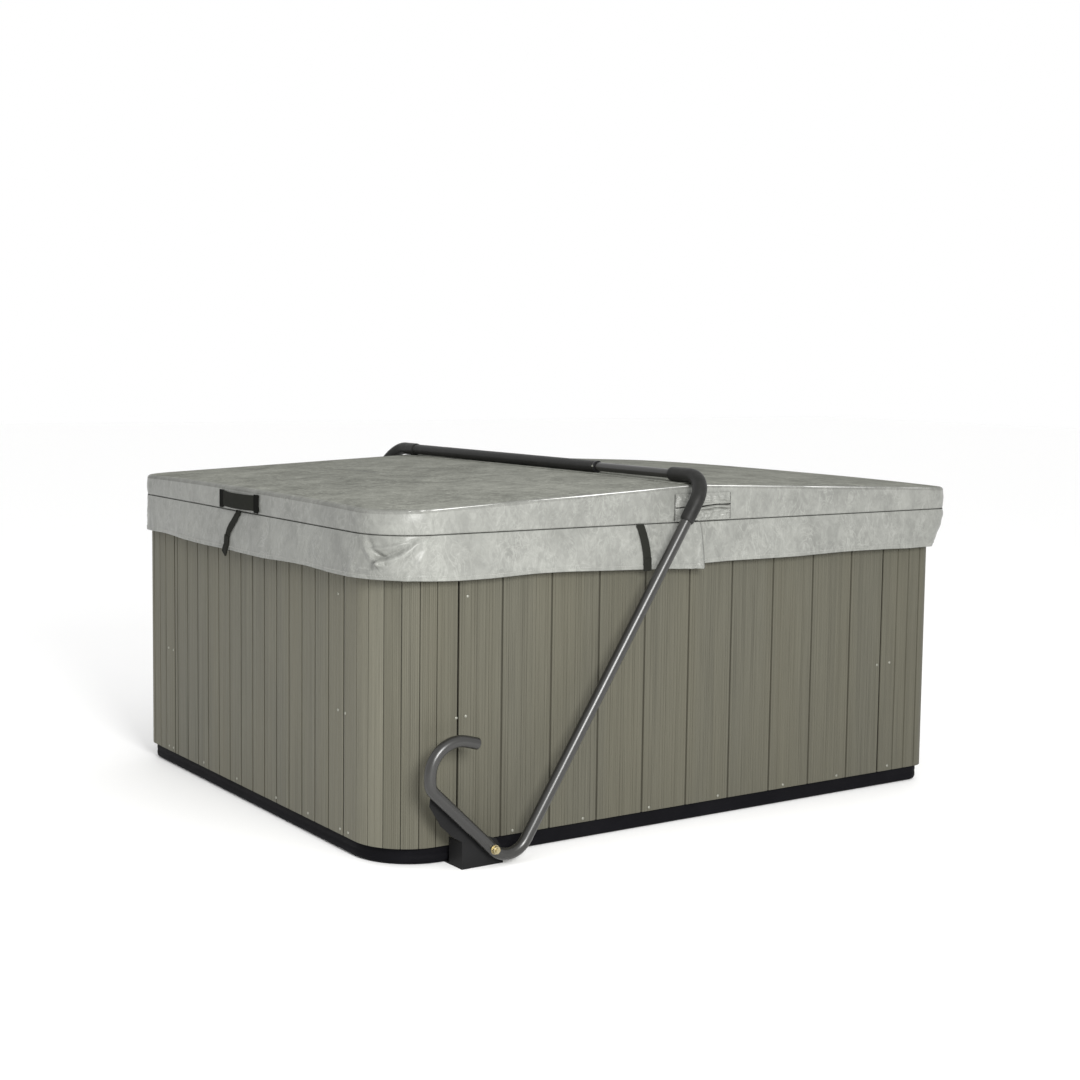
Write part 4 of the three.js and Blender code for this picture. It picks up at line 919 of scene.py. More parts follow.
def jacket(side):
    tag = "left" if side < 0 else "right"
    X, R = (XL, RL) if side < 0 else (XR, RR)
    seg, cnt = 22, None
    x0, x1 = (-X, -FOLD) if side < 0 else (FOLD, X)
    cnt = [44, 64, 44, 64]

    def ring(inset):
        r_far = max(R - inset, 0.004); r_fold = max(0.006 - inset, 0.0022)
        rr = [r_far, r_fold, r_fold, RB - inset] if side < 0 else [r_fold, r_far, r_far, r_fold]
        return rrect_counts(x0 + inset, x1 - inset, -YO + inset, YO - inset, rr, seg, cnt)

    base = ring(0.0)
    cxm = (x0 + x1) / 2
    rings = []

    def put(pts, zf):
        rings.append(np.array([(p[0], p[1], zf(p)) for p in pts]))

    # flat underside, then the welt at the seam, the band and the top edge roll
    for s in (0.97, 0.6, 0.25, 0.06):
        q = ring(0.012)
        t = np.column_stack([np.full(len(q), cxm), np.clip(q[:, 1], -0.33, 0.33)])
        put(q * (1 - s) + t * s, lambda p: CZ + 0.0008)
    put(ring(0.012), lambda p: CZ + 0.0008)
    put(ring(0.0045), lambda p: CZ + 0.0008)
    put(ring(0.0022), lambda p: CZ + 0.0016)
    put(ring(0.0006), lambda p: CZ + 0.0036)
    put(ring(0.0), lambda p: CZ + 0.0065)
    H = lambda p: ztop(side, p[0]) + crown(side, p[0], p[1]) - CZ
    for f, o_ in ((0.22, -0.0012), (0.36, -0.0018), (0.5, -0.0020), (0.64, -0.0018), (0.78, -0.0010)):
        put(ring(o_), lambda p, f=f: CZ + 0.0065 + (H(p) - 0.0065 - 0.0100) * f)
    for q in range(7):
        t = math.radians(15 * q)
        put(ring(0.0100 * (1 - math.cos(t))), lambda p, t=t: CZ + H(p) - 0.0100 * (1 - math.sin(t)))
    put(ring(0.0135), lambda p: CZ + H(p) + 0.0001)
    # stitched line just inside the top edge
    put(ring(0.0160), lambda p: CZ + H(p) - 0.0007)
    put(ring(0.0185), lambda p: CZ + H(p) + 0.0001)
    q = ring(0.020)
    t = np.column_stack([np.full(len(q), cxm), np.clip(q[:, 1], -0.33, 0.33)])
    for s in (0.0, 0.02, 0.05, 0.09, 0.14, 0.2, 0.27, 0.35, 0.43, 0.51, 0.59, 0.67, 0.75, 0.83, 0.9, 0.955, 0.99):
        put(q * (1 - s) + t * s, lambda p: CZ + H(p))
    P = np.array(rings)
    # vinyl pulled over the foam: shallow unevenness, a little more on the band
    for i in range(P.shape[0]):
        for j in range(P.shape[1]):
            x, y, z = P[i, j]
            if z > CZ + 0.004:
                a = noise3(x, y, z, 3.1, 4) * 0.0016 + noise3(x, y, z, 9.0, 8) * 0.0008
                edge = min(1.0, (z - CZ) / 0.03)
                if i >= 21:
                    # the unevenness fades out towards the edge roll
                    P[i, j, 2] += a * 0.9 * min(1, edge) * (0.0, 0.0, 0.05, 0.10, 0.30, 0.60, 1.0)[min(i, 27) - 21]
                else:
                    bn = base[j] - np.array([cxm, np.clip(base[j][1], -0.45, 0.45)])
                    bn = bn / (np.linalg.norm(bn) + 1e-9)
                    fold_side = abs(x) < 0.03
                    w = 0 if fold_side else 1
                    amp = (noise3(x, y, z * 0.6, 8.0, 2) * 0.0014 + noise3(x, y, z * 2.2, 21, 5) * 0.0006) * edge * w
                    P[i, j, 0] += bn[0] * amp; P[i, j, 1] += bn[1] * amp
    V, F = stack(P)
    o = make("cover_pad_" + tag, V, F, VINYL, "cover_" + tag)
    o.data.materials.append(VINYL_TOP_SHADED); o.data.materials.append(VINYL_EDGE_SHADED)
    for f in o.data.polygons:
        below = ztop(side, f.center.x) + crown(side, f.center.x, f.center.y) - f.center.z
        # painted shade: upward-facing faces take the reflection-free top copy
        if f.normal.z > 0.94:
            f.material_index = 1
        # painted shade: the upper band and edge roll take the darker edge copy
        elif f.normal.z > -0.2 and below < 0.0112:
            f.material_index = 2
    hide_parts("cover_jacket_" + tag)
    return o


pads = {s: jacket(s) for s in (-1, 1)}


# ------------------------------------------------------------------------ skirts
def strip(side, ext=0.0):
    """Open path round three sides, starting on the fold at the front. Returns points, outward normals, arc length."""
    X, R, Q = (XL, RL, RB) if side < 0 else (XR, RR, RR)
    pts = []; nrm = []
    s = side
    step = 0.010
    xe = s * FOLD - s * ext
    n = int((X - R + ext) / step)
    for i in range(n):
        x = xe + (s * (X - R) - xe) * i / n
        pts.append((x, -YO)); nrm.append((0, -1))
    m = int(R * math.pi / 2 / (step * 0.55))
    for i in range(m + 1):
        t = math.radians(90 * i / m)
        pts.append((s * (X - R + R * math.sin(t)), -(YO - R + R * math.cos(t)))); nrm.append((s * math.sin(t), -math.cos(t)))
    n2 = int((2 * YO - R - Q) / step)
    for i in range(1, n2):
        pts.append((s * X, -(YO - R) + (2 * YO - R - Q) * i / n2)); nrm.append((s, 0))
    m = int(Q * math.pi / 2 / (step * 0.55))
    for i in range(m + 1):
        t = math.radians(90 * i / m)
        pts.append((s * (X - Q + Q * math.cos(t)), YO - Q + Q * math.sin(t))); nrm.append((s * math.cos(t), math.sin(t)))
    n = int((X - Q + ext) / step)
    for i in range(1, n + 1):
        x = s * (X - Q) + (xe - s * (X - Q)) * i / n
        pts.append((x, YO)); nrm.append((0, 1))
    pts = np.array(pts); nrm = np.array(nrm, float)
    d = np.r_[0, np.cumsum(np.linalg.norm(np.diff(pts, axis=0), axis=1))]
    return pts, nrm, d


def bumpf(x, c, w):
    return math.exp(-((x - c) / w) ** 2)


def smooth(x, a, b):
    t = min(1.0, max(0.0, (x - a) / (b - a)))
    return t * t * (3 - 2 * t)


def seg_dist(px, pz, ax, az, bx, bz):
    dx, dz = bx - ax, bz - az
    t = max(0.0, min(1.0, ((px - ax) * dx + (pz - az) * dz) / (dx * dx + dz * dz)))
    cx, cz = ax + t * dx, az + t * dz
    side = (px - ax) * dz - (pz - az) * dx
    return math.hypot(px - cx, pz - cz), t, side


# polylines of the corner drape, in (distance from the corner's middle, height)
# Each: points, height at the two ends and the middle, half width above and below the line.
DRAPE = [([(-0.104, 0.906), (-0.070, 0.880), (-0.034, 0.852), (0.000, 0.836), (0.018, 0.833)], (0.006, 0.0175), 0.0066, 0.0150),
         ([(0.018, 0.833), (0.038, 0.843), (0.058, 0.866), (0.070, 0.886)], (0.0175, 0.0060), 0.0058, 0.0120),
         ([(-0.098, 0.905), (-0.046, 0.884), (0.004, 0.871), (0.040, 0.868)], (0.0035, 0.0078), 0.0050, 0.0080),
         ([(-0.080, 0.899), (-0.026, 0.868), (0.012, 0.853)], (0.002, 0.0035), 0.0040, 0.0060),
         ([(-0.106, 0.900), (-0.094, 0.860), (-0.066, 0.815), (-0.044, 0.784)], (0.004, 0.0060), 0.0110, 0.0110),
         ([(0.045, 0.900), (0.110, 0.889), (0.230, 0.899)], (0.0060, 0.0020), 0.0045, 0.0065),
         ([(0.080, 0.868), (0.110, 0.830), (0.128, 0.790)], (0.0020, 0.0045), 0.0130, 0.0110),
         ([(0.020, 0.812), (0.050, 0.806), (0.090, 0.812)], (0.0015, 0.0030), 0.0060, 0.0060)]


def drape(s, z, gain=1.0):
    v = 0.0
    for kk, (line, (h0, h1), wa, wb) in enumerate(DRAPE):
        best = None
        n = len(line) - 1
        for q, ((ax, az), (bx, bz)) in enumerate(zip(line, line[1:])):
            dd, t, sd = seg_dist(s, z, ax, az, bx, bz)
            if best is None or dd < best[0]:
                best = (dd, (q + t) / n, sd)
        dd, t, sd = best
        above = sd < 0
        w = wa if above else wb
        h = h0 + (h1 - h0) * t
        v += h * math.exp(-(dd / w) ** 2)
        if kk < 2 and above:
            # hollow behind the ridge, so the fold reads as a pocket
            v -= (0.0025 + 0.28 * h) * math.exp(-((dd - wa * 2.1) / (wa * 1.2)) ** 2)
    return v * gain


def skirt(side):
    tag = "left" if side < 0 else "right"
    ext = 0.018 if side < 0 else -0.002
    pts, nrm, d = strip(side, ext)
    X, R, Q = (XL, RL, RB) if side < 0 else (XR, RR, RR)
    total = d[-1]
    nv = 46
    hem_band = 0.013
    P = np.zeros((len(pts), nv + 1, 3))
    c_front = (X - R + ext) + R * math.pi / 4       # arc length at the front corner's middle
    c_back = total - ((X - Q + ext) + Q * math.pi / 4)
    for i, (p, n_, s) in enumerate(zip(pts, nrm, d)):
        from_fold = min(s, total - s)
        front = s < total / 2
        end = nrm[i][0] * side          # 1 on the end face, 0 on the long sides
        # hem height along the strip
        if side < 0:
            hem = 0.784 - 0.020 * smooth(-from_fold, -0.50, -0.02) + 0.003 * math.sin(s * 5.1 + 1) + 0.0018 * math.sin(s * 13.7)
        else:
            hem = 0.779 + 0.006 * smooth(from_fold, 0.1, 0.9) + 0.0025 * math.sin(s * 4.3) + 0.0015 * math.sin(s * 12.1)
        sc_f = s - c_front; sc_b = s - c_back
        for j in range(nv + 1):
            v = j / nv
            z = CZ - 0.0004 + (hem - CZ) * v
            # general set of the flap
            if side < 0:
                calm_b = 1 - 1.05 * bumpf(s, c_back, 0.22)
                out = 0.0095 * math.sin(v * math.pi * 0.62) * calm_b
                out += 0.006 * v * smooth(-from_fold, -0.20, -0.0)
            else:
                e2 = smooth(end, 0.12, 0.62)
                out = (0.0085 * math.sin(v * math.pi * 0.62)) * (1 - e2) + e2 * (0.0040 * math.sin(v * math.pi))
                tuck = smooth(-from_fold, -0.16, 0.0)
                out = out * (1 - tuck) + tuck * (-0.0015)
            out -= 0.0010 * (1 - min(1, v / 0.10))
            # soft vertical waves, growing towards the hem
            grow = v ** 1.2
            w = 0.0032 * math.sin(s * 17.0 + 0.8 * math.sin(s * 3.1) + (0 if side < 0 else 2)) + 0.0022 * math.sin(s * 31.0 + 1.3 * math.sin(s * 7.0))
            calm = 0.35 + 0.65 * (0.5 + 0.5 * math.sin(s * 2.3 + 0.6))
            out += w * grow * calm * 0.8
            # small crinkles
            out += (noise3(p[0], p[1], z, 14, 3) * 0.0022 + noise3(p[0], p[1], z, 34, 9) * 0.0010) * min(1, v * 3) * (0.55 + 0.45 * end)
            # drapes at the round corners
            if side < 0:
                out += drape(sc_f, z, 1.0 if True else 0) * min(1, v * 6)
                out += drape(-sc_b, z, 0.10) * min(1, v * 6)
            else:
                kf_ = bumpf(sc_f, 0.0, 0.10); kb_ = bumpf(sc_b, 0.0, 0.10)
                out += (kf_ + kb_) * (0.0012 * math.sin(z * 120 + s * 18) * math.sin(v * math.pi))
                out += (kf_ + kb_) * 0.0030 * bumpf(z, 0.880, 0.013)
            # fold end of the lifter-side flap rolls slightly outward
            if side < 0:
                out += 0.007 * v * bumpf(from_fold, 0.0, 0.035)
                out += 0.0052 * math.sin(from_fold * 150) * math.exp(-from_fold / 0.075) * (0.35 + v)
            # hem: doubled band, so slightly prouder, with a stitched step
            zh = z - hem
            if zh < hem_band:
                out += 0.0010
            elif zh < hem_band + 0.004:
                out -= 0.0004
            # stay off the rim and the cabinet
            lim = -0.0065 if not (side > 0 and end > 0.05) else -0.040
            out = max(out, lim)
            qx, qy = p[0] + n_[0] * out, p[1] + n_[1] * out
            if side > 0:
                # the far end hangs in towards the cabinet
                pull = v ** 1.25 * smooth(p[0], 0.84, 1.02)
                qx -= 0.0400 * pull
                qy -= (1 if qy > 0 else -1) * 0.0080 * pull * smooth(abs(p[1]), 0.62, 0.80)
            P[i, j] = (qx, qy, z)
    V, F = grid(P)
    o = make("cover_flap_" + tag, V, F, VINYL, "cover_" + tag)
    so = o.modifiers.new("thick", "SOLIDIFY"); so.thickness = 0.0017; so.offset = 0.0
    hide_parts("cover_skirt_" + tag)
    # stitches along the hem, a thread step above it, and the dark seam cord at the top
    st = []
    dist = 0.0; nxt = 0.01
    col = int(round((nv) * (1 - 0.0115 / 0.12)))
    line = P[:, col, :].copy()
    ln = np.r_[0, np.cumsum(np.linalg.norm(np.diff(line, axis=0), axis=1))]
    q = 0.006
    while q < ln[-1] - 0.008:
        a = np.array([np.interp(q, ln, line[:, t]) for t in range(3)]); b = np.array([np.interp(q + 0.0052, ln, line[:, t]) for t in range(3)])
        nn = np.array([np.interp(q, ln, nrm[:, 0]), np.interp(q, ln, nrm[:, 1]), 0.0]); nn /= np.linalg.norm(nn)
        up = np.array([0, 0, 1.0])
        ring0 = [a + nn * 0.0010 + up * 0.0005, a + nn * 0.0010 - up * 0.0005, a - nn * 0.0002]
        mid = (a + b) / 2
        ring1 = [mid + nn * 0.0017 + up * 0.0006, mid + nn * 0.0017 - up * 0.0006, mid - nn * 0.0002]
        ring2 = [b + nn * 0.0010 + up * 0.0005, b + nn * 0.0010 - up * 0.0005, b - nn * 0.0002]
        st.append(capped(np.array([ring0, ring1, ring2])))
        q += 0.0072
    V, F = merge(st)
    make("hem_stitch_" + tag, V, F, THREAD, "cover_" + tag)
    seam = np.column_stack([pts[:, 0] + nrm[:, 0] * -0.0006, pts[:, 1] + nrm[:, 1] * -0.0006, np.full(len(pts), CZ + 0.0002)])
    if side < 0:
        keep = (np.abs(pts[:, 0]) > 0.004) & (pts[:, 0] < 0)
        seam = seam[keep]
    V, F = sweep(seam, 0.0007, n=8)
    make("seam_cord_" + tag, V, F, SEAMD, "cover_" + tag)
    return o, P


flaps = {s: skirt(s) for s in (-1, 1)}


# --------------------------------------------------- hinge gussets and top hinge
def gusset(sy):
    tag = "front" if sy < 0 else "back"
    nu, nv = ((110, 84))
    P = np.zeros((nu + 1, nv + 1, 3))
    x0, x1, z0_, z1_ = -0.088, 0.124, 0.9072, 0.9868
    crease = []
    for i in range(nu + 1):
        u = i / nu; x = x0 + (x1 - x0) * u
        zc = 0.9480 + 0.0075 * (u - 0.35) + 0.0016 * math.sin(u * 11)
        zd = zc - 0.0085 - 0.0040 * u + 0.0012 * math.sin(u * 17 + 1)
        for j in range(nv + 1):
            v = j / nv; z = z0_ + (z1_ - z0_) * v
            y = YO + 0.0032
            eu = min(u, 1 - u) * (x1 - x0); ev = min(v, 1 - v) * (z1_ - z0_)
            lift = smooth(min(eu, ev), 0.0, 0.012)
            deep = 0.55 + 0.45 * smooth(abs(u - 0.42), 0.02, 0.45)
            off = 0.0042 * lift
            off += lift * 0.0052 * math.exp(-((z - zc - 0.0058) / 0.0042) ** 2) * deep
            off += lift * 0.0046 * math.exp(-((z - (zc + zd) / 2) / 0.0030) ** 2) * deep
            off += lift * 0.0034 * math.exp(-((z - zd + 0.0065) / 0.0050) ** 2) * deep
            off -= 0.0062 * math.exp(-((z - zc) / 0.0017) ** 2) * (0.5 + 0.5 * lift)
            off -= 0.0040 * math.exp(-((z - zd) / 0.0015) ** 2) * lift * smooth(u, 0.25, 0.55)
            # crinkles fanning from the crease
            fan = math.sin((z - zc) * 900 * (0.35 + abs(u - 0.36)) + u * 9) * math.exp(-abs(z - zc) / 0.026)
            off += lift * 0.0016 * fan + lift * 0.0036 * noise3(x, z, sy, 62, 4) + 0.0026 * noise3(x, z, sy, 24, 7) * lift
            off += lift * 0.0030 * math.sin(x * 230 + 5 * z) * (bumpf(z, 0.921, 0.012) + bumpf(z, 0.974, 0.012))
            P[i, j] = (x, sy * (y + max(off, 0.0)), z)
        if 0.02 < u < 0.985:
            crease.append((x, sy * (YO + 0.0052), zc))
    # dark cords painted in as the shade of the turned-in fold, a shorter one just below its start, and thin dark cords
    # down both ends of the patch
    cz_ = np.array(crease)
    out_ = [sweep(cz_, 0.0023, n=8), sweep(cz_[: len(cz_) // 3] - (0, 0, 0.0022), 0.0018, n=8)]
    for xe_ in (x0 + 0.0012, x1 - 0.0012):
        zz = np.linspace(z0_ + 0.002, z1_ - 0.002, 12)
        out_.append(sweep(np.column_stack([np.full(12, xe_), np.full(12, sy * (YO + 0.0040)), zz]), 0.0009, n=8))
    V, F = merge(out_)
    cr = make("gusset_crease_shade_" + tag, V, F, SHADOWED, None)
    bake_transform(cr)
    V, F = grid(P)
    o = make("hinge_gusset_patch_" + tag, V, F, VINYL, None)
    so = o.modifiers.new("thick", "SOLIDIFY"); so.thickness = 0.0014; so.offset = 0.0
    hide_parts("hinge_gusset_" + tag)
    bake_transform(o)
    # stitched ends
    for xs, body in ((x0 + 0.005, "cover_left"), (x1 - 0.005, "cover_right")):
        st = []
        z = z0_ + 0.004
        while z < z1_ - 0.006:
            c = np.array([xs, sy * (YO + 0.0068), z])
            ring0 = [c + (0.0006, 0, 0), c + (-0.0006, 0, 0), c + (0, -sy * 0.002, 0)]
            r1 = [q + np.array((0, sy * 0.0007, 0.0026)) for q in ring0]
            r2 = [q + np.array((0, 0, 0.0052)) for q in ring0]
            st.append(capped(np.array([ring0, r1, r2])))
            z += 0.0072
        V, F = merge(st)
        make("gusset_stitch_%s_%s" % (tag, body[6:]), V, F, THREAD, body)
    # drain eyelet beside the fold
    prof = [(0.0022, 0.0), (0.0052, 0.0), (0.0050, 0.0012), (0.0038, 0.0018), (0.0026, 0.0012)]
    V, F = lathe(prof, 24)
    M = Matrix.Translation(Vector((-0.0245, sy * (YO + 0.0012), 0.9035))) @ Vector((0, sy, 0)).to_track_quat("Z", "Y").to_matrix().to_4x4()
    make("eyelet_" + tag, place(V, M), F, SEAMD, "cover_left")
    return o


gus = {s: gusset(s) for s in (-1, 1)}


def top_hinge():
    nu, nv = 36, 150
    P = np.zeros((nu + 1, nv + 1, 3))
    w = 0.043
    for i in range(nu + 1):
        u = i / nu; x = -w + 2 * w * u
        for j in range(nv + 1):
            y = -YO + 0.032 + (2 * YO - 0.064) * j / nv
            side = -1 if x < 0 else 1
            e = smooth(w - abs(x), 0.0, 0.004)
            z = ztop(side, x) + crown(side, x, y) + 0.0009 + 0.0009 * e
            z -= 0.0012 * bumpf(x, 0, 0.006)
            z += 0.0004 * noise3(x, y, 0, 30, 2) * e
            P[i, j] = (x, y, z)
    V, F = grid(P)
    o = make("fold_hinge_strip", V, F, VINYL_TOP_SHADED, None)
    so = o.modifiers.new("thick", "SOLIDIFY"); so.thickness = 0.0012; so.offset = 0.0
    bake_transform(o)
    return o


hinge = top_hinge()


# ---------------------------------------------------------------- lifter tubing
ER = 0.085                          # elbow bend radius


def lifter_paths():
    u = np.array([math.cos(math.radians(57.5)), math.sin(math.radians(57.5))])
    ld = np.array([math.cos(math.radians(136.2)), math.sin(math.radians(136.2))])
    det = lambda a, b: a[0] * b[1] - a[1] * b[0]
    s = det(BAR - PIV, u) / det(ld, u)
    corner = PIV + s * ld
    bis = ld + u; bis /= np.linalg.norm(bis)
    half = math.acos(ld.dot(bis)); BR = 0.069
    bc = corner + bis * BR / math.sin(half)
    tl = BR / math.tan(half)
    leg_end = corner + ld * tl
    c1 = np.array([-0.856, 0.2714]); r1, r2 = 0.0866, 0.0363
    xv = c1[0] - r1
    zat = lambda x: PIV[1] + (x - PIV[0]) * ld[1] / ld[0]
    turn = 46.2
    ex = xv + r2 - r2 * math.cos(math.radians(turn))
    c2 = np.array([xv + r2, zat(ex) + r2 * math.sin(math.radians(turn))])
    te = math.radians(75)
    e1 = c1 + r1 * np.array([math.cos(te), math.sin(te)])
    pts = [tuple(e1 + 0.038 * np.array([math.sin(te), -math.cos(te)]))]
    pts += arc(c1, r1, 75, 180, 30)
    pts += arc(c2, r2, 180, 180 + turn, 12)
    a0_ = math.degrees(math.atan2(*(leg_end - bc)[::-1]))
    sweep_ = 180 - 2 * math.degrees(half)
    pts += arc(bc, BR, a0_, a0_ + sweep_, 26)
    start = BAR - u * ER
    return u, pts, start


u_, leg_pts, bend_start = lifter_paths()


def elbow(before, after, n=24, r=0.085):
    pts = [(bend_start[0] - u_[0] * before, -ARM_Y, bend_start[1] - u_[1] * before)]
    for i in range(n + 1):
        a = math.pi / 2 * i / n
        al = r * math.sin(a); sd = r * (1 - math.cos(a))
        pts.append((bend_start[0] + u_[0] * al, -ARM_Y + sd, bend_start[1] + u_[1] * al))
    pts.append((BAR[0], -ARM_Y + r + after, BAR[1]))
    return pts


y_elb = -ARM_Y + 0.158
for nm, sy in (("front", 1), ("back", -1)):
    route = [(x, -ARM_Y, z) for x, z in leg_pts]
    el = elbow(0.048, 0.073)
    route = route + el[0:]
    P = dense(route, 0.0045)
    # keep the tight bends exactly: dense polyline of fine arcs, lightly smoothed
    for _ in range(3):
        P[1:-1] = 0.25 * P[:-2] + 0.5 * P[1:-1] + 0.25 * P[2:]
    P[:, 1] *= sy
    V, F = sweep(P, TR_, n=32, ends=0.0012)
    o = make("lifter_tube_" + nm, V, F, GUN, "lifter")
    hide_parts("hook_leg_" + nm, "arm_tube_" + nm, "elbow_tube_" + nm)
    # plug: a shallow domed cap in the open end of the hook
    p0, p1 = np.array(P[0]), np.array(P[1])
    t = (p0 - p1) / np.linalg.norm(p0 - p1)
    prof = [(0.0002, 0.0038), (0.006, 0.0036), (0.0115, 0.0026), (0.0150, 0.0010), (0.0156, 0.0), (0.0150, -0.003), (0.0002, -0.003)]
    V, F = lathe(prof, 36)
    M = Matrix.Translation(Vector(p0 + t * 0.0012)) @ Vector(t).to_track_quat("Z", "Y").to_matrix().to_4x4()
    pl = make("hook_cap_" + nm, place(V, M), F, SLEEVE, "lifter", angle=40)
    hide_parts("hook_plug_" + nm)
    # elbow sleeve: foam tube with eased ends, crinkled where it bends
    Q = dense(elbow(0.062, 0.086), 0.0035)
    for _ in range(4):
        Q[1:-1] = 0.25 * Q[:-2] + 0.5 * Q[1:-1] + 0.25 * Q[2:]
    n_ = len(Q); L_ = np.r_[0, np.cumsum(np.linalg.norm(np.diff(Q, axis=0), axis=1))]
    rad = []
    for l in L_:
        e = min(l, L_[-1] - l)
        rr = 0.0215 - 0.0022 * math.exp(-(e / 0.0022))
        mid = bumpf(l, 0.062 + 0.0668, 0.050)
        rr += 0.0006 * math.sin(l * 900) * mid + 0.0003 * noise3(l * 60, sy, 0, 1, 3)
        rad.append(rr)
    Q[:, 1] *= sy
    V, F = sweep(Q, rad, n=36, ends=0.0018)
    o = make("elbow_foam_" + nm, V, F, SLEEVE, "lifter")
    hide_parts("elbow_sleeve_" + nm)


def rod(y0, y1, r, name, mat, nodes, wob=0.0, n=36, step=0.006, ends=0.0015, seed=1):
    ys = np.linspace(y0, y1, max(3, int(abs(y1 - y0) / step)))
    P = [(BAR[0], y, BAR[1]) for y in ys]
    rr = [r * (1 + wob * noise3(y * 22, seed, 0, 1, seed)) for y in ys]
    V, F = sweep(P, rr, n=n, ends=ends)
    o = make(name, V, F, mat, "lifter")
    if nodes:
        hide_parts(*nodes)
    return o


YC = -0.380
rod(y_elb, YC + 0.26, 0.0140, "bar_inner_tube", GUN, ["crossbar_inner_tube"])
rod(YC + 0.012, -y_elb, 0.0162, "bar_outer_tube", GUN, ["crossbar_outer_tube"])
rod(YC + 0.013, -(y_elb + 0.016), 0.0182, "bar_foam", SLEEVE, ["crossbar_foam"], wob=0.012, seed=4)
# collar: split clamp ring with a screw boss
prof = [(0.0147, 0.0), (0.0178, 0.0), (0.0185, 0.0009), (0.0185, 0.0106), (0.0178, 0.0115), (0.0147, 0.0115)]
V, F = lathe(prof, 48)
M = Matrix.Translation(Vector((BAR[0], YC, BAR[1]))) @ Vector((0, 1, 0)).to_track_quat("Z", "Y").to_matrix().to_4x4()
cl = make("bar_collar", place(V, M), F, BUCK, "lifter", angle=40)
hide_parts("crossbar_collar")
V, F = lathe([(0.0002, 0.0030), (0.0030, 0.0028), (0.0034, 0.0018), (0.0034, -0.002), (0.0002, -0.002)], 20)
M = Matrix.Translation(Vector((BAR[0] - 0.0178, YC + 0.0058, BAR[1] + 0.0020))) @ Vector((-1, 0, 0.1)).to_track_quat("Z", "Y").to_matrix().to_4x4()
make("bar_collar_screw", place(V, M), F, STEEL, "lifter", angle=40)

# ------------------------------------------------------------- pivot fasteners
for nm, sy in (("front", -1), ("back", 1)):
    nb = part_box("pivot_nut_" + nm)
    y_out = nb[0][1] if sy < 0 else nb[1][1]
    y_in = nb[1][1] if sy < 0 else nb[0][1]
    thick = abs(y_out - y_in)
    # chamfered hex nut
    n = 72; rings = []
    for h, ch in ((0.0, 0.0006), (0.0012, 0.0), (thick - 0.0018, 0.0), (thick - 0.0004, 0.0011), (thick, 0.0022)):
        row = []
        for q in range(n):
            t = 2 * math.pi * q / n
            a = (t + math.pi / 6) % (math.pi / 3) - math.pi / 6
            hexr = 0.01005 / math.cos(a)
            r = min(hexr, 0.0116 - ch)
            row.append((r * math.cos(t), r * math.sin(t), h))
        rings.append(row)
    rings.append([(0.0062 * math.cos(2 * math.pi * q / n), 0.0062 * math.sin(2 * math.pi * q / n), thick) for q in range(n)])
    V, F = capped(np.array(rings))
    M = Matrix.Translation(Vector((PIV[0], y_in, PIV[1]))) @ Vector((0, sy, 0)).to_track_quat("Z", "Y").to_matrix().to_4x4() @ Matrix.Rotation(0.35, 4, "Z")
    o = make("pivot_hex_" + nm, place(V, M), F, ZINC, "spa", angle=28)
    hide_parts("pivot_nut_" + nm)
    # threaded end and washer
    prof = [(0.0002, 0.0030), (0.0044, 0.0030)]
    for q in range(4):
        prof += [(0.0058, 0.0022 - q * 0.0012), (0.0051, 0.0016 - q * 0.0012)]
    prof += [(0.0058, -0.006), (0.0002, -0.006)]
    V, F = lathe(prof, 32)
    M = Matrix.Translation(Vector((PIV[0], y_out, PIV[1]))) @ Vector((0, sy, 0)).to_track_quat("Z", "Y").to_matrix().to_4x4()
    p1_ = (place(V, M), F)
    V, F = lathe([(0.0064, 0.0), (0.0130, 0.0), (0.0133, 0.0004), (0.0133, 0.0014), (0.0130, 0.0018), (0.0064, 0.0018)], 40)
    M = Matrix.Translation(Vector((PIV[0], y_in - sy * 0.0019, PIV[1]))) @ Vector((0, sy, 0)).to_track_quat("Z", "Y").to_matrix().to_4x4()
    p2_ = (place(V, M), F)
    V, F = merge([p1_, p2_])
    make("pivot_washer_" + nm, V, F, ZINC, "spa", angle=28)
    # plastic bushing between the tube and the bracket plate
    V, F = lathe([(0.0064, 0.0), (0.0135, 0.0), (0.0140, 0.0006), (0.0140, 0.0024), (0.0135, 0.0030), (0.0064, 0.0030)], 36)
    M = Matrix.Translation(Vector((PIV[0], sy * (ARM_Y - TR_ - 0.0031), PIV[1]))) @ Vector((0, sy, 0)).to_track_quat("Z", "Y").to_matrix().to_4x4()
    make("pivot_bushing_" + nm, place(V, M), F, BUCK, "spa", angle=40)


# ------------------------------------------------------ webbing, straps, buckles
def ribbon(path, width_dir, width, thick, name, mat, body, nodes=(), edge=0.0006, taper=None):
    """Flat webbing along a path. The section is a thin rounded rectangle across width_dir."""
    path = np.asarray(path, float)
    T = np.gradient(path, axis=0); T /= np.linalg.norm(T, axis=1)[:, None]
    wd = np.asarray(width_dir, float)
    rings = []
    for i, p in enumerate(path):
        w = wd - T[i] * wd.dot(T[i]); w /= np.linalg.norm(w)
        n_ = np.cross(T[i], w)
        hw = width / 2 * (1 if taper is None else taper(i / (len(path) - 1)))
        sec = []
        m = 14
        for a in range(m + 1):
            q = -1 + 2 * a / m
            e = 1 - max(0, (abs(q) - 0.9) / 0.1) ** 2 * 0.55
            rib = 0.00012 * math.cos(q * 30)
            sec.append(p + w * hw * q + n_ * (thick / 2 * e + rib))
        for a in range(m, -1, -1):
            q = -1 + 2 * a / m
            e = 1 - max(0, (abs(q) - 0.9) / 0.1) ** 2 * 0.55
            sec.append(p + w * hw * q - n_ * (thick / 2 * e))
        rings.append(sec)
    V, F = capped(np.array(rings))
    o = make(name, V, F, mat, body, angle=60)
    if nodes:
        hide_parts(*nodes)
    return o


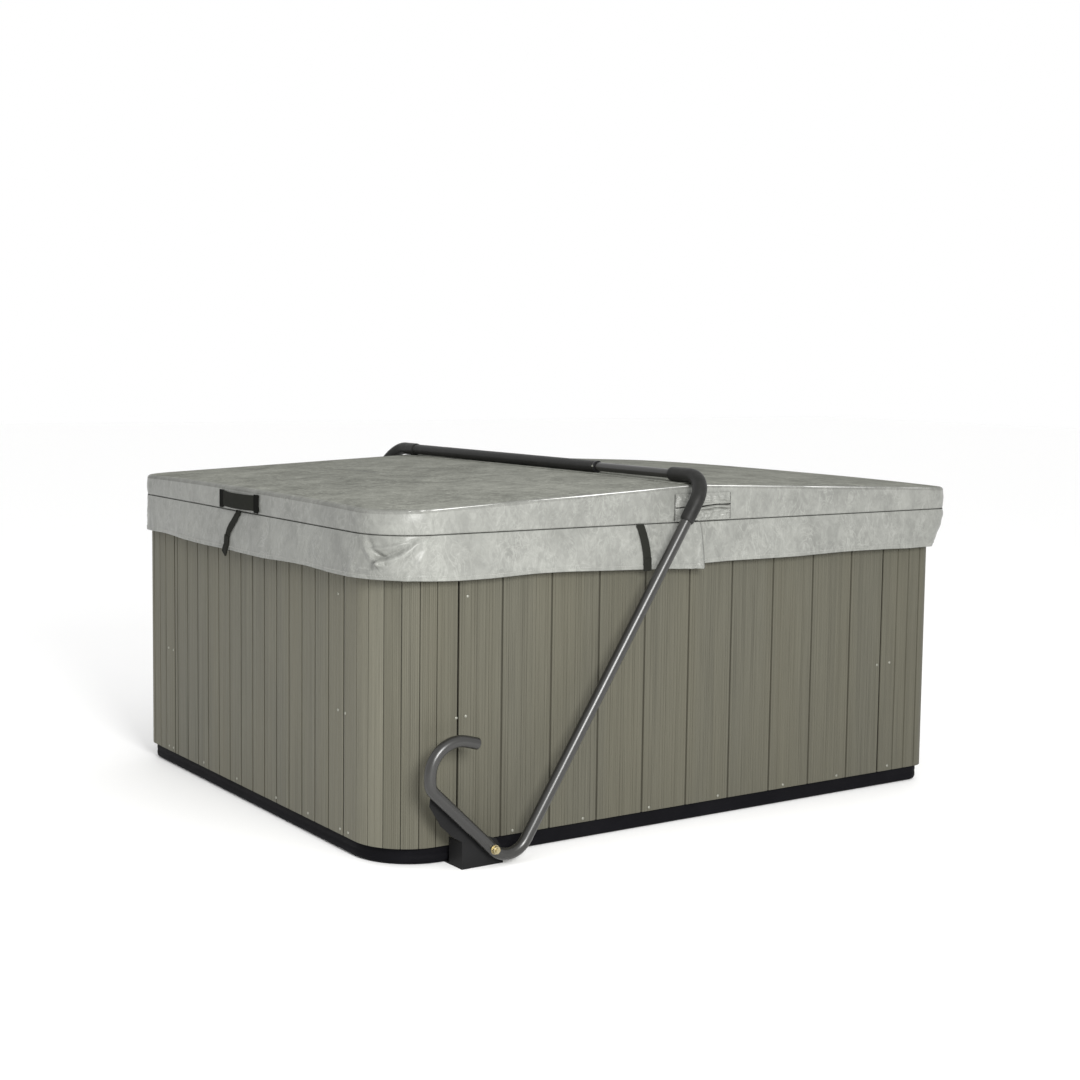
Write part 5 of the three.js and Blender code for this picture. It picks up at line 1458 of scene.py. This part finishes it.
def flap_point(side, xy, z, lift=0.002):
    """Point on the outside of the flap nearest a plan position, at a height."""
    P = flaps[side][1]
    d = np.linalg.norm(P[:, 0, :2] - np.asarray(xy), axis=1)
    i = int(d.argmin())
    col = P[i]
    zz = col[::-1, 2]
    x = np.interp(z, zz, col[::-1, 0]); y = np.interp(z, zz, col[::-1, 1])
    return np.array([x, y, z])


def hang(side, start, end, nrm, zs, lift, extra=None):
    out = []
    for kk, z in enumerate(zs):
        f = (zs[0] - z) / (zs[0] - zs[-1])
        xy = np.array(start) + (np.array(end) - np.array(start)) * f
        if extra:
            xy = xy + np.array(extra(f))
        if z > CZ - 0.004:
            base = np.array([start[0], start[1], z])
            out.append(base + np.array([*nrm, 0]) * lift)
        else:
            p = flap_point(side, xy, z)
            if abs(nrm[1]) > 0.5:
                p[0] = xy[0]
            else:
                p[1] = xy[1]
            out.append(p + np.array([*nrm, 0]) * lift)
    return np.array(out)


zs = np.linspace(0.9045, 0.7700, 30)
for nm, sy in (("front", -1), ("back", 1)):
    bow = lambda f: (0.006 * math.sin(f * math.pi * 0.9), 0)
    pth = hang(-1, (-0.213, sy * YO), (-0.193, sy * YO), (0, sy), zs, 0.0034, bow)
    pth[:, 1] += sy * 0.0022 * np.sin(np.linspace(0, math.pi, len(pth)))
    ribbon(pth, (1, 0, 0), 0.027, 0.0019, "tie_strap_" + nm, WEB, "cover_left", ["strap_" + nm])
    # doubled tail and the male buckle, tucked behind the hem
    tail = pth[-9:].copy(); tail[:, 1] += sy * 0.0021
    ribbon(tail, (1, 0, 0), 0.027, 0.0018, "tie_tail_" + nm, WEB, "cover_left")
for nm, side, X, nx in (("left", -1, XL, -1), ("right", 1, XR, 1)):
    if side < 0:
        wig = lambda f: (0, 0.010 * math.sin(f * math.pi * 1.1) - 0.004 * math.sin(f * math.pi * 3))
        pth = hang(side, (nx * X, 0.031), (nx * X, 0.112), (nx, 0), zs, 0.0034, wig)
    else:
        wig = lambda f: (0, 0.008 * math.sin(f * math.pi))
        pth = hang(side, (nx * X, 0.050), (nx * X, 0.082), (nx, 0), zs, 0.0034, wig)
    ribbon(pth, (0, 1, 0), 0.030, 0.0019, "tie_strap_" + nm, WEB, "cover_" + nm, ["strap_" + nm])
    tail = pth[-13:].copy(); tail[:, 0] += nx * 0.0021; tail[:, 1] += 0.0015
    ribbon(tail, (0, 1, 0), 0.030, 0.0018, "tie_tail_" + nm, WEB, "cover_" + nm)


def buckle(nm, body, c, nrm):
    """Side-release tongue: body plate, two spring arms and a centre guide."""
    w, h, t = 0.036, 0.026, 0.0056
    parts = []
    def blk(x0, x1, z0, z1, y0, y1, e=0.0008):
        r = []
        for y, k_ in ((y0, e), (y0 + e, 0), (y1 - e, 0), (y1, e)):
            p = rrect_counts(x0 + k_, x1 - k_, z0 + k_, z1 - k_, min(0.0025, (x1 - x0) / 3, (z1 - z0) / 3), 4, [1, 1, 1, 1])
            r.append(np.column_stack([p[:, 0], np.full(len(p), y), p[:, 1]]))
        return stack(r)
    parts.append(blk(-w / 2, w / 2, 0.000, 0.011, 0, t))
    parts.append(blk(-w / 2 + 0.001, -w / 2 + 0.0055, -0.0145, 0.002, 0.001, t - 0.001))
    parts.append(blk(w / 2 - 0.0055, w / 2 - 0.001, -0.0145, 0.002, 0.001, t - 0.001))
    parts.append(blk(-0.003, 0.003, -0.0125, 0.002, 0.0015, t - 0.0015))
    V, F = merge(parts)
    ang = math.atan2(nrm[1], nrm[0]) - math.pi / 2
    M = Matrix.Translation(Vector(c)) @ Matrix.Rotation(ang, 4, "Z")
    o = make("tie_buckle_" + nm, place(V, M), F, BUCK, body, angle=40)
    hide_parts("buckle_" + nm)


for nm, side, xy, nrm in (("front", -1, (-0.193, -YO), (0, -1)), ("back", -1, (-0.193, YO), (0, 1)), ("left", -1, (-XL, 0.112), (-1, 0)), ("right", 1, (XR, 0.082), (1, 0))):
    hem_p = flap_point(side, xy, 0.790)
    # hangs inside the flap, behind the hem, so only the webbing shows from outside
    c = (hem_p[0] - nrm[0] * 0.0095, hem_p[1] - nrm[1] * 0.0095, 0.7925)
    buckle(nm, "cover_left" if side < 0 else "cover_right", c, nrm)


def handle(nm, side, X, nx):
    body = "cover_" + nm
    yc = 0.026; zc = CZ + 0.0325
    ys = np.linspace(-0.134, 0.134, 72)
    path = []
    for y in ys:
        q = abs(y)
        b = 0.0105 * math.sqrt(max(0.0, 1 - (q / 0.112) ** 2)) if q < 0.112 else 0.0
        b += 0.0010 * math.sin(y * 60)
        path.append((nx * (X + 0.0030 + b), yc + y, zc - 0.0018 * math.cos(y * 14) + 0.0018))
    ribbon(path, (0, 0, 1), 0.046, 0.0030, "carry_handle_" + nm, WEB, body, ["handle_" + nm])
    for s_ in (-1, 1):
        rows = []
        for yy in np.linspace(0.109, 0.137, 8):
            y = s_ * yy
            e = smooth(min(yy - 0.109, 0.137 - yy), 0.0, 0.003)
            b = 0.0105 * math.sqrt(max(0.0, 1 - (min(yy, 0.112) / 0.112) ** 2))
            rows.append((nx * (X + 0.0052 + b * 0.5 + 0.0004 * e), yc + y, zc))
        if s_ < 0:
            rows = rows[::-1]
        ribbon(rows, (0, 0, 1), 0.055, 0.0028, "handle_tab_%s_%s" % (nm, "a" if s_ < 0 else "b"), WEBD, body)
        st = []
        for yy in (0.1125, 0.1335):
            z = zc - 0.0245
            while z < zc + 0.021:
                c = np.array([nx * (X + 0.0069), yc + s_ * yy, z])
                r0 = [c + (0, 0.0005, 0), c + (0, -0.0005, 0), c + (-nx * 0.001, 0, 0)]
                st.append(capped(np.array([r0, [q + np.array((nx * 0.0005, 0, 0.0018)) for q in r0], [q + np.array((0, 0, 0.0036)) for q in r0]])))
                z += 0.0054
        V, F = merge(st)
        make("handle_stitch_%s_%s" % (nm, "a" if s_ < 0 else "b"), V, F, WEB, body)


handle("left", -1, XL, -1)
handle("right", 1, XR, 1)

# ------------------------------------------------- underside of the cover halves
for side, tag in ((-1, "left"), (1, "right")):
    X = XL if side < 0 else XR
    # coil zip along the fold
    zx = side * 0.060
    parts = []
    yy = -0.70
    while yy < 0.70:
        c = np.array([zx, yy, CZ + 0.0006])
        r0 = [c + (-0.0024, 0, 0), c + (0.0024, 0, 0), c + (0.0020, 0, -0.0004), c + (-0.0020, 0, -0.0004)]
        parts.append(capped(np.array([r0, [q + np.array((0, 0.0016, 0)) for q in r0]])))
        yy += 0.0030
    V, F = merge(parts)
    make("zip_coil_" + tag, V, F, SEAMD, "cover_" + tag, smooth=False)

# ------------------------------------------------------------------------ stage
FLOOR = Mat("floor_pale", (0.93, 0.93, 0.925), 0.75, spec=0.2)
fn = FLOOR.noise(3, 4, 0.6)
FLOOR.set("Base Color", FLOOR.mix(FLOOR.math("MULTIPLY", fn, 0.15), (0.990, 0.990, 0.988), (0.975, 0.975, 0.973)))
FLOOR.set("Roughness", FLOOR.math("ADD", FLOOR.math("MULTIPLY", fn, 0.1), 0.70))
gs = [(-30 + 60 * i / 12, -30 + 60 * j / 12, 0.0) for i in range(13) for j in range(13)]
gf = [(i * 13 + j, (i + 1) * 13 + j, (i + 1) * 13 + j + 1, i * 13 + j + 1) for i in range(12) for j in range(12)]
floor = make("studio_floor", gs, gf, FLOOR.m, smooth=False)
for v in floor.data.vertices:
    v.co.z = -0.0002

w = bpy.data.worlds.new("studio"); scene.world = w; w.use_nodes = True
w.node_tree.nodes["Background"].inputs[0].default_value = (1.0, 1.0, 1.0, 1)
w.node_tree.nodes["Background"].inputs[1].default_value = 1.0


def area(name, loc, target, size, power, color=(1, 1, 1), size_y=None):
    d = bpy.data.lights.new(name, "AREA")
    d.shape = "RECTANGLE"; d.size = size; d.size_y = size_y or size; d.energy = power; d.color = color
    o = bpy.data.objects.new(name, d); scene.collection.objects.link(o)
    o.location = loc
    o.rotation_euler = (Vector(target) - Vector(loc)).to_track_quat("-Z", "Y").to_euler()
    return o


area("key", (-1.7, -5.0, 2.3), (-0.1, -0.6, 0.5), 1.5, 262, (1.0, 0.998, 0.985))

scene.view_settings.view_transform = "Standard"
scene.view_settings.look = "None"
scene.view_settings.exposure = 0.0
scene.view_settings.gamma = 1.0

# ----------------------------------------------------------------------- camera
az, pitch, roll = 0.6004053634, 0.0877789590, 0.0131501375
d = np.array([math.sin(az) * math.cos(pitch), math.cos(az) * math.cos(pitch), -math.sin(pitch)])
right = np.array([math.cos(az), -math.sin(az), 0.0]); up = np.cross(right, d)
c, s = math.cos(roll), math.sin(roll)
r2 = c * right + s * up; u2 = -s * right + c * up
cam_d = bpy.data.cameras.new("camera"); cam = bpy.data.objects.new("camera", cam_d)
scene.collection.objects.link(cam)
M = Matrix(((r2[0], u2[0], -d[0], -3.2392), (r2[1], u2[1], -d[1], -4.7681), (r2[2], u2[2], -d[2], 1.3612), (0, 0, 0, 1)))
cam.matrix_world = M
cam_d.sensor_width = 36; cam_d.lens = 57.70; cam_d.shift_x = 0.0; cam_d.shift_y = -0.0230
cam_d.clip_start = 0.05; cam_d.clip_end = 200
cam_d.dof.use_dof = False
scene.camera = cam
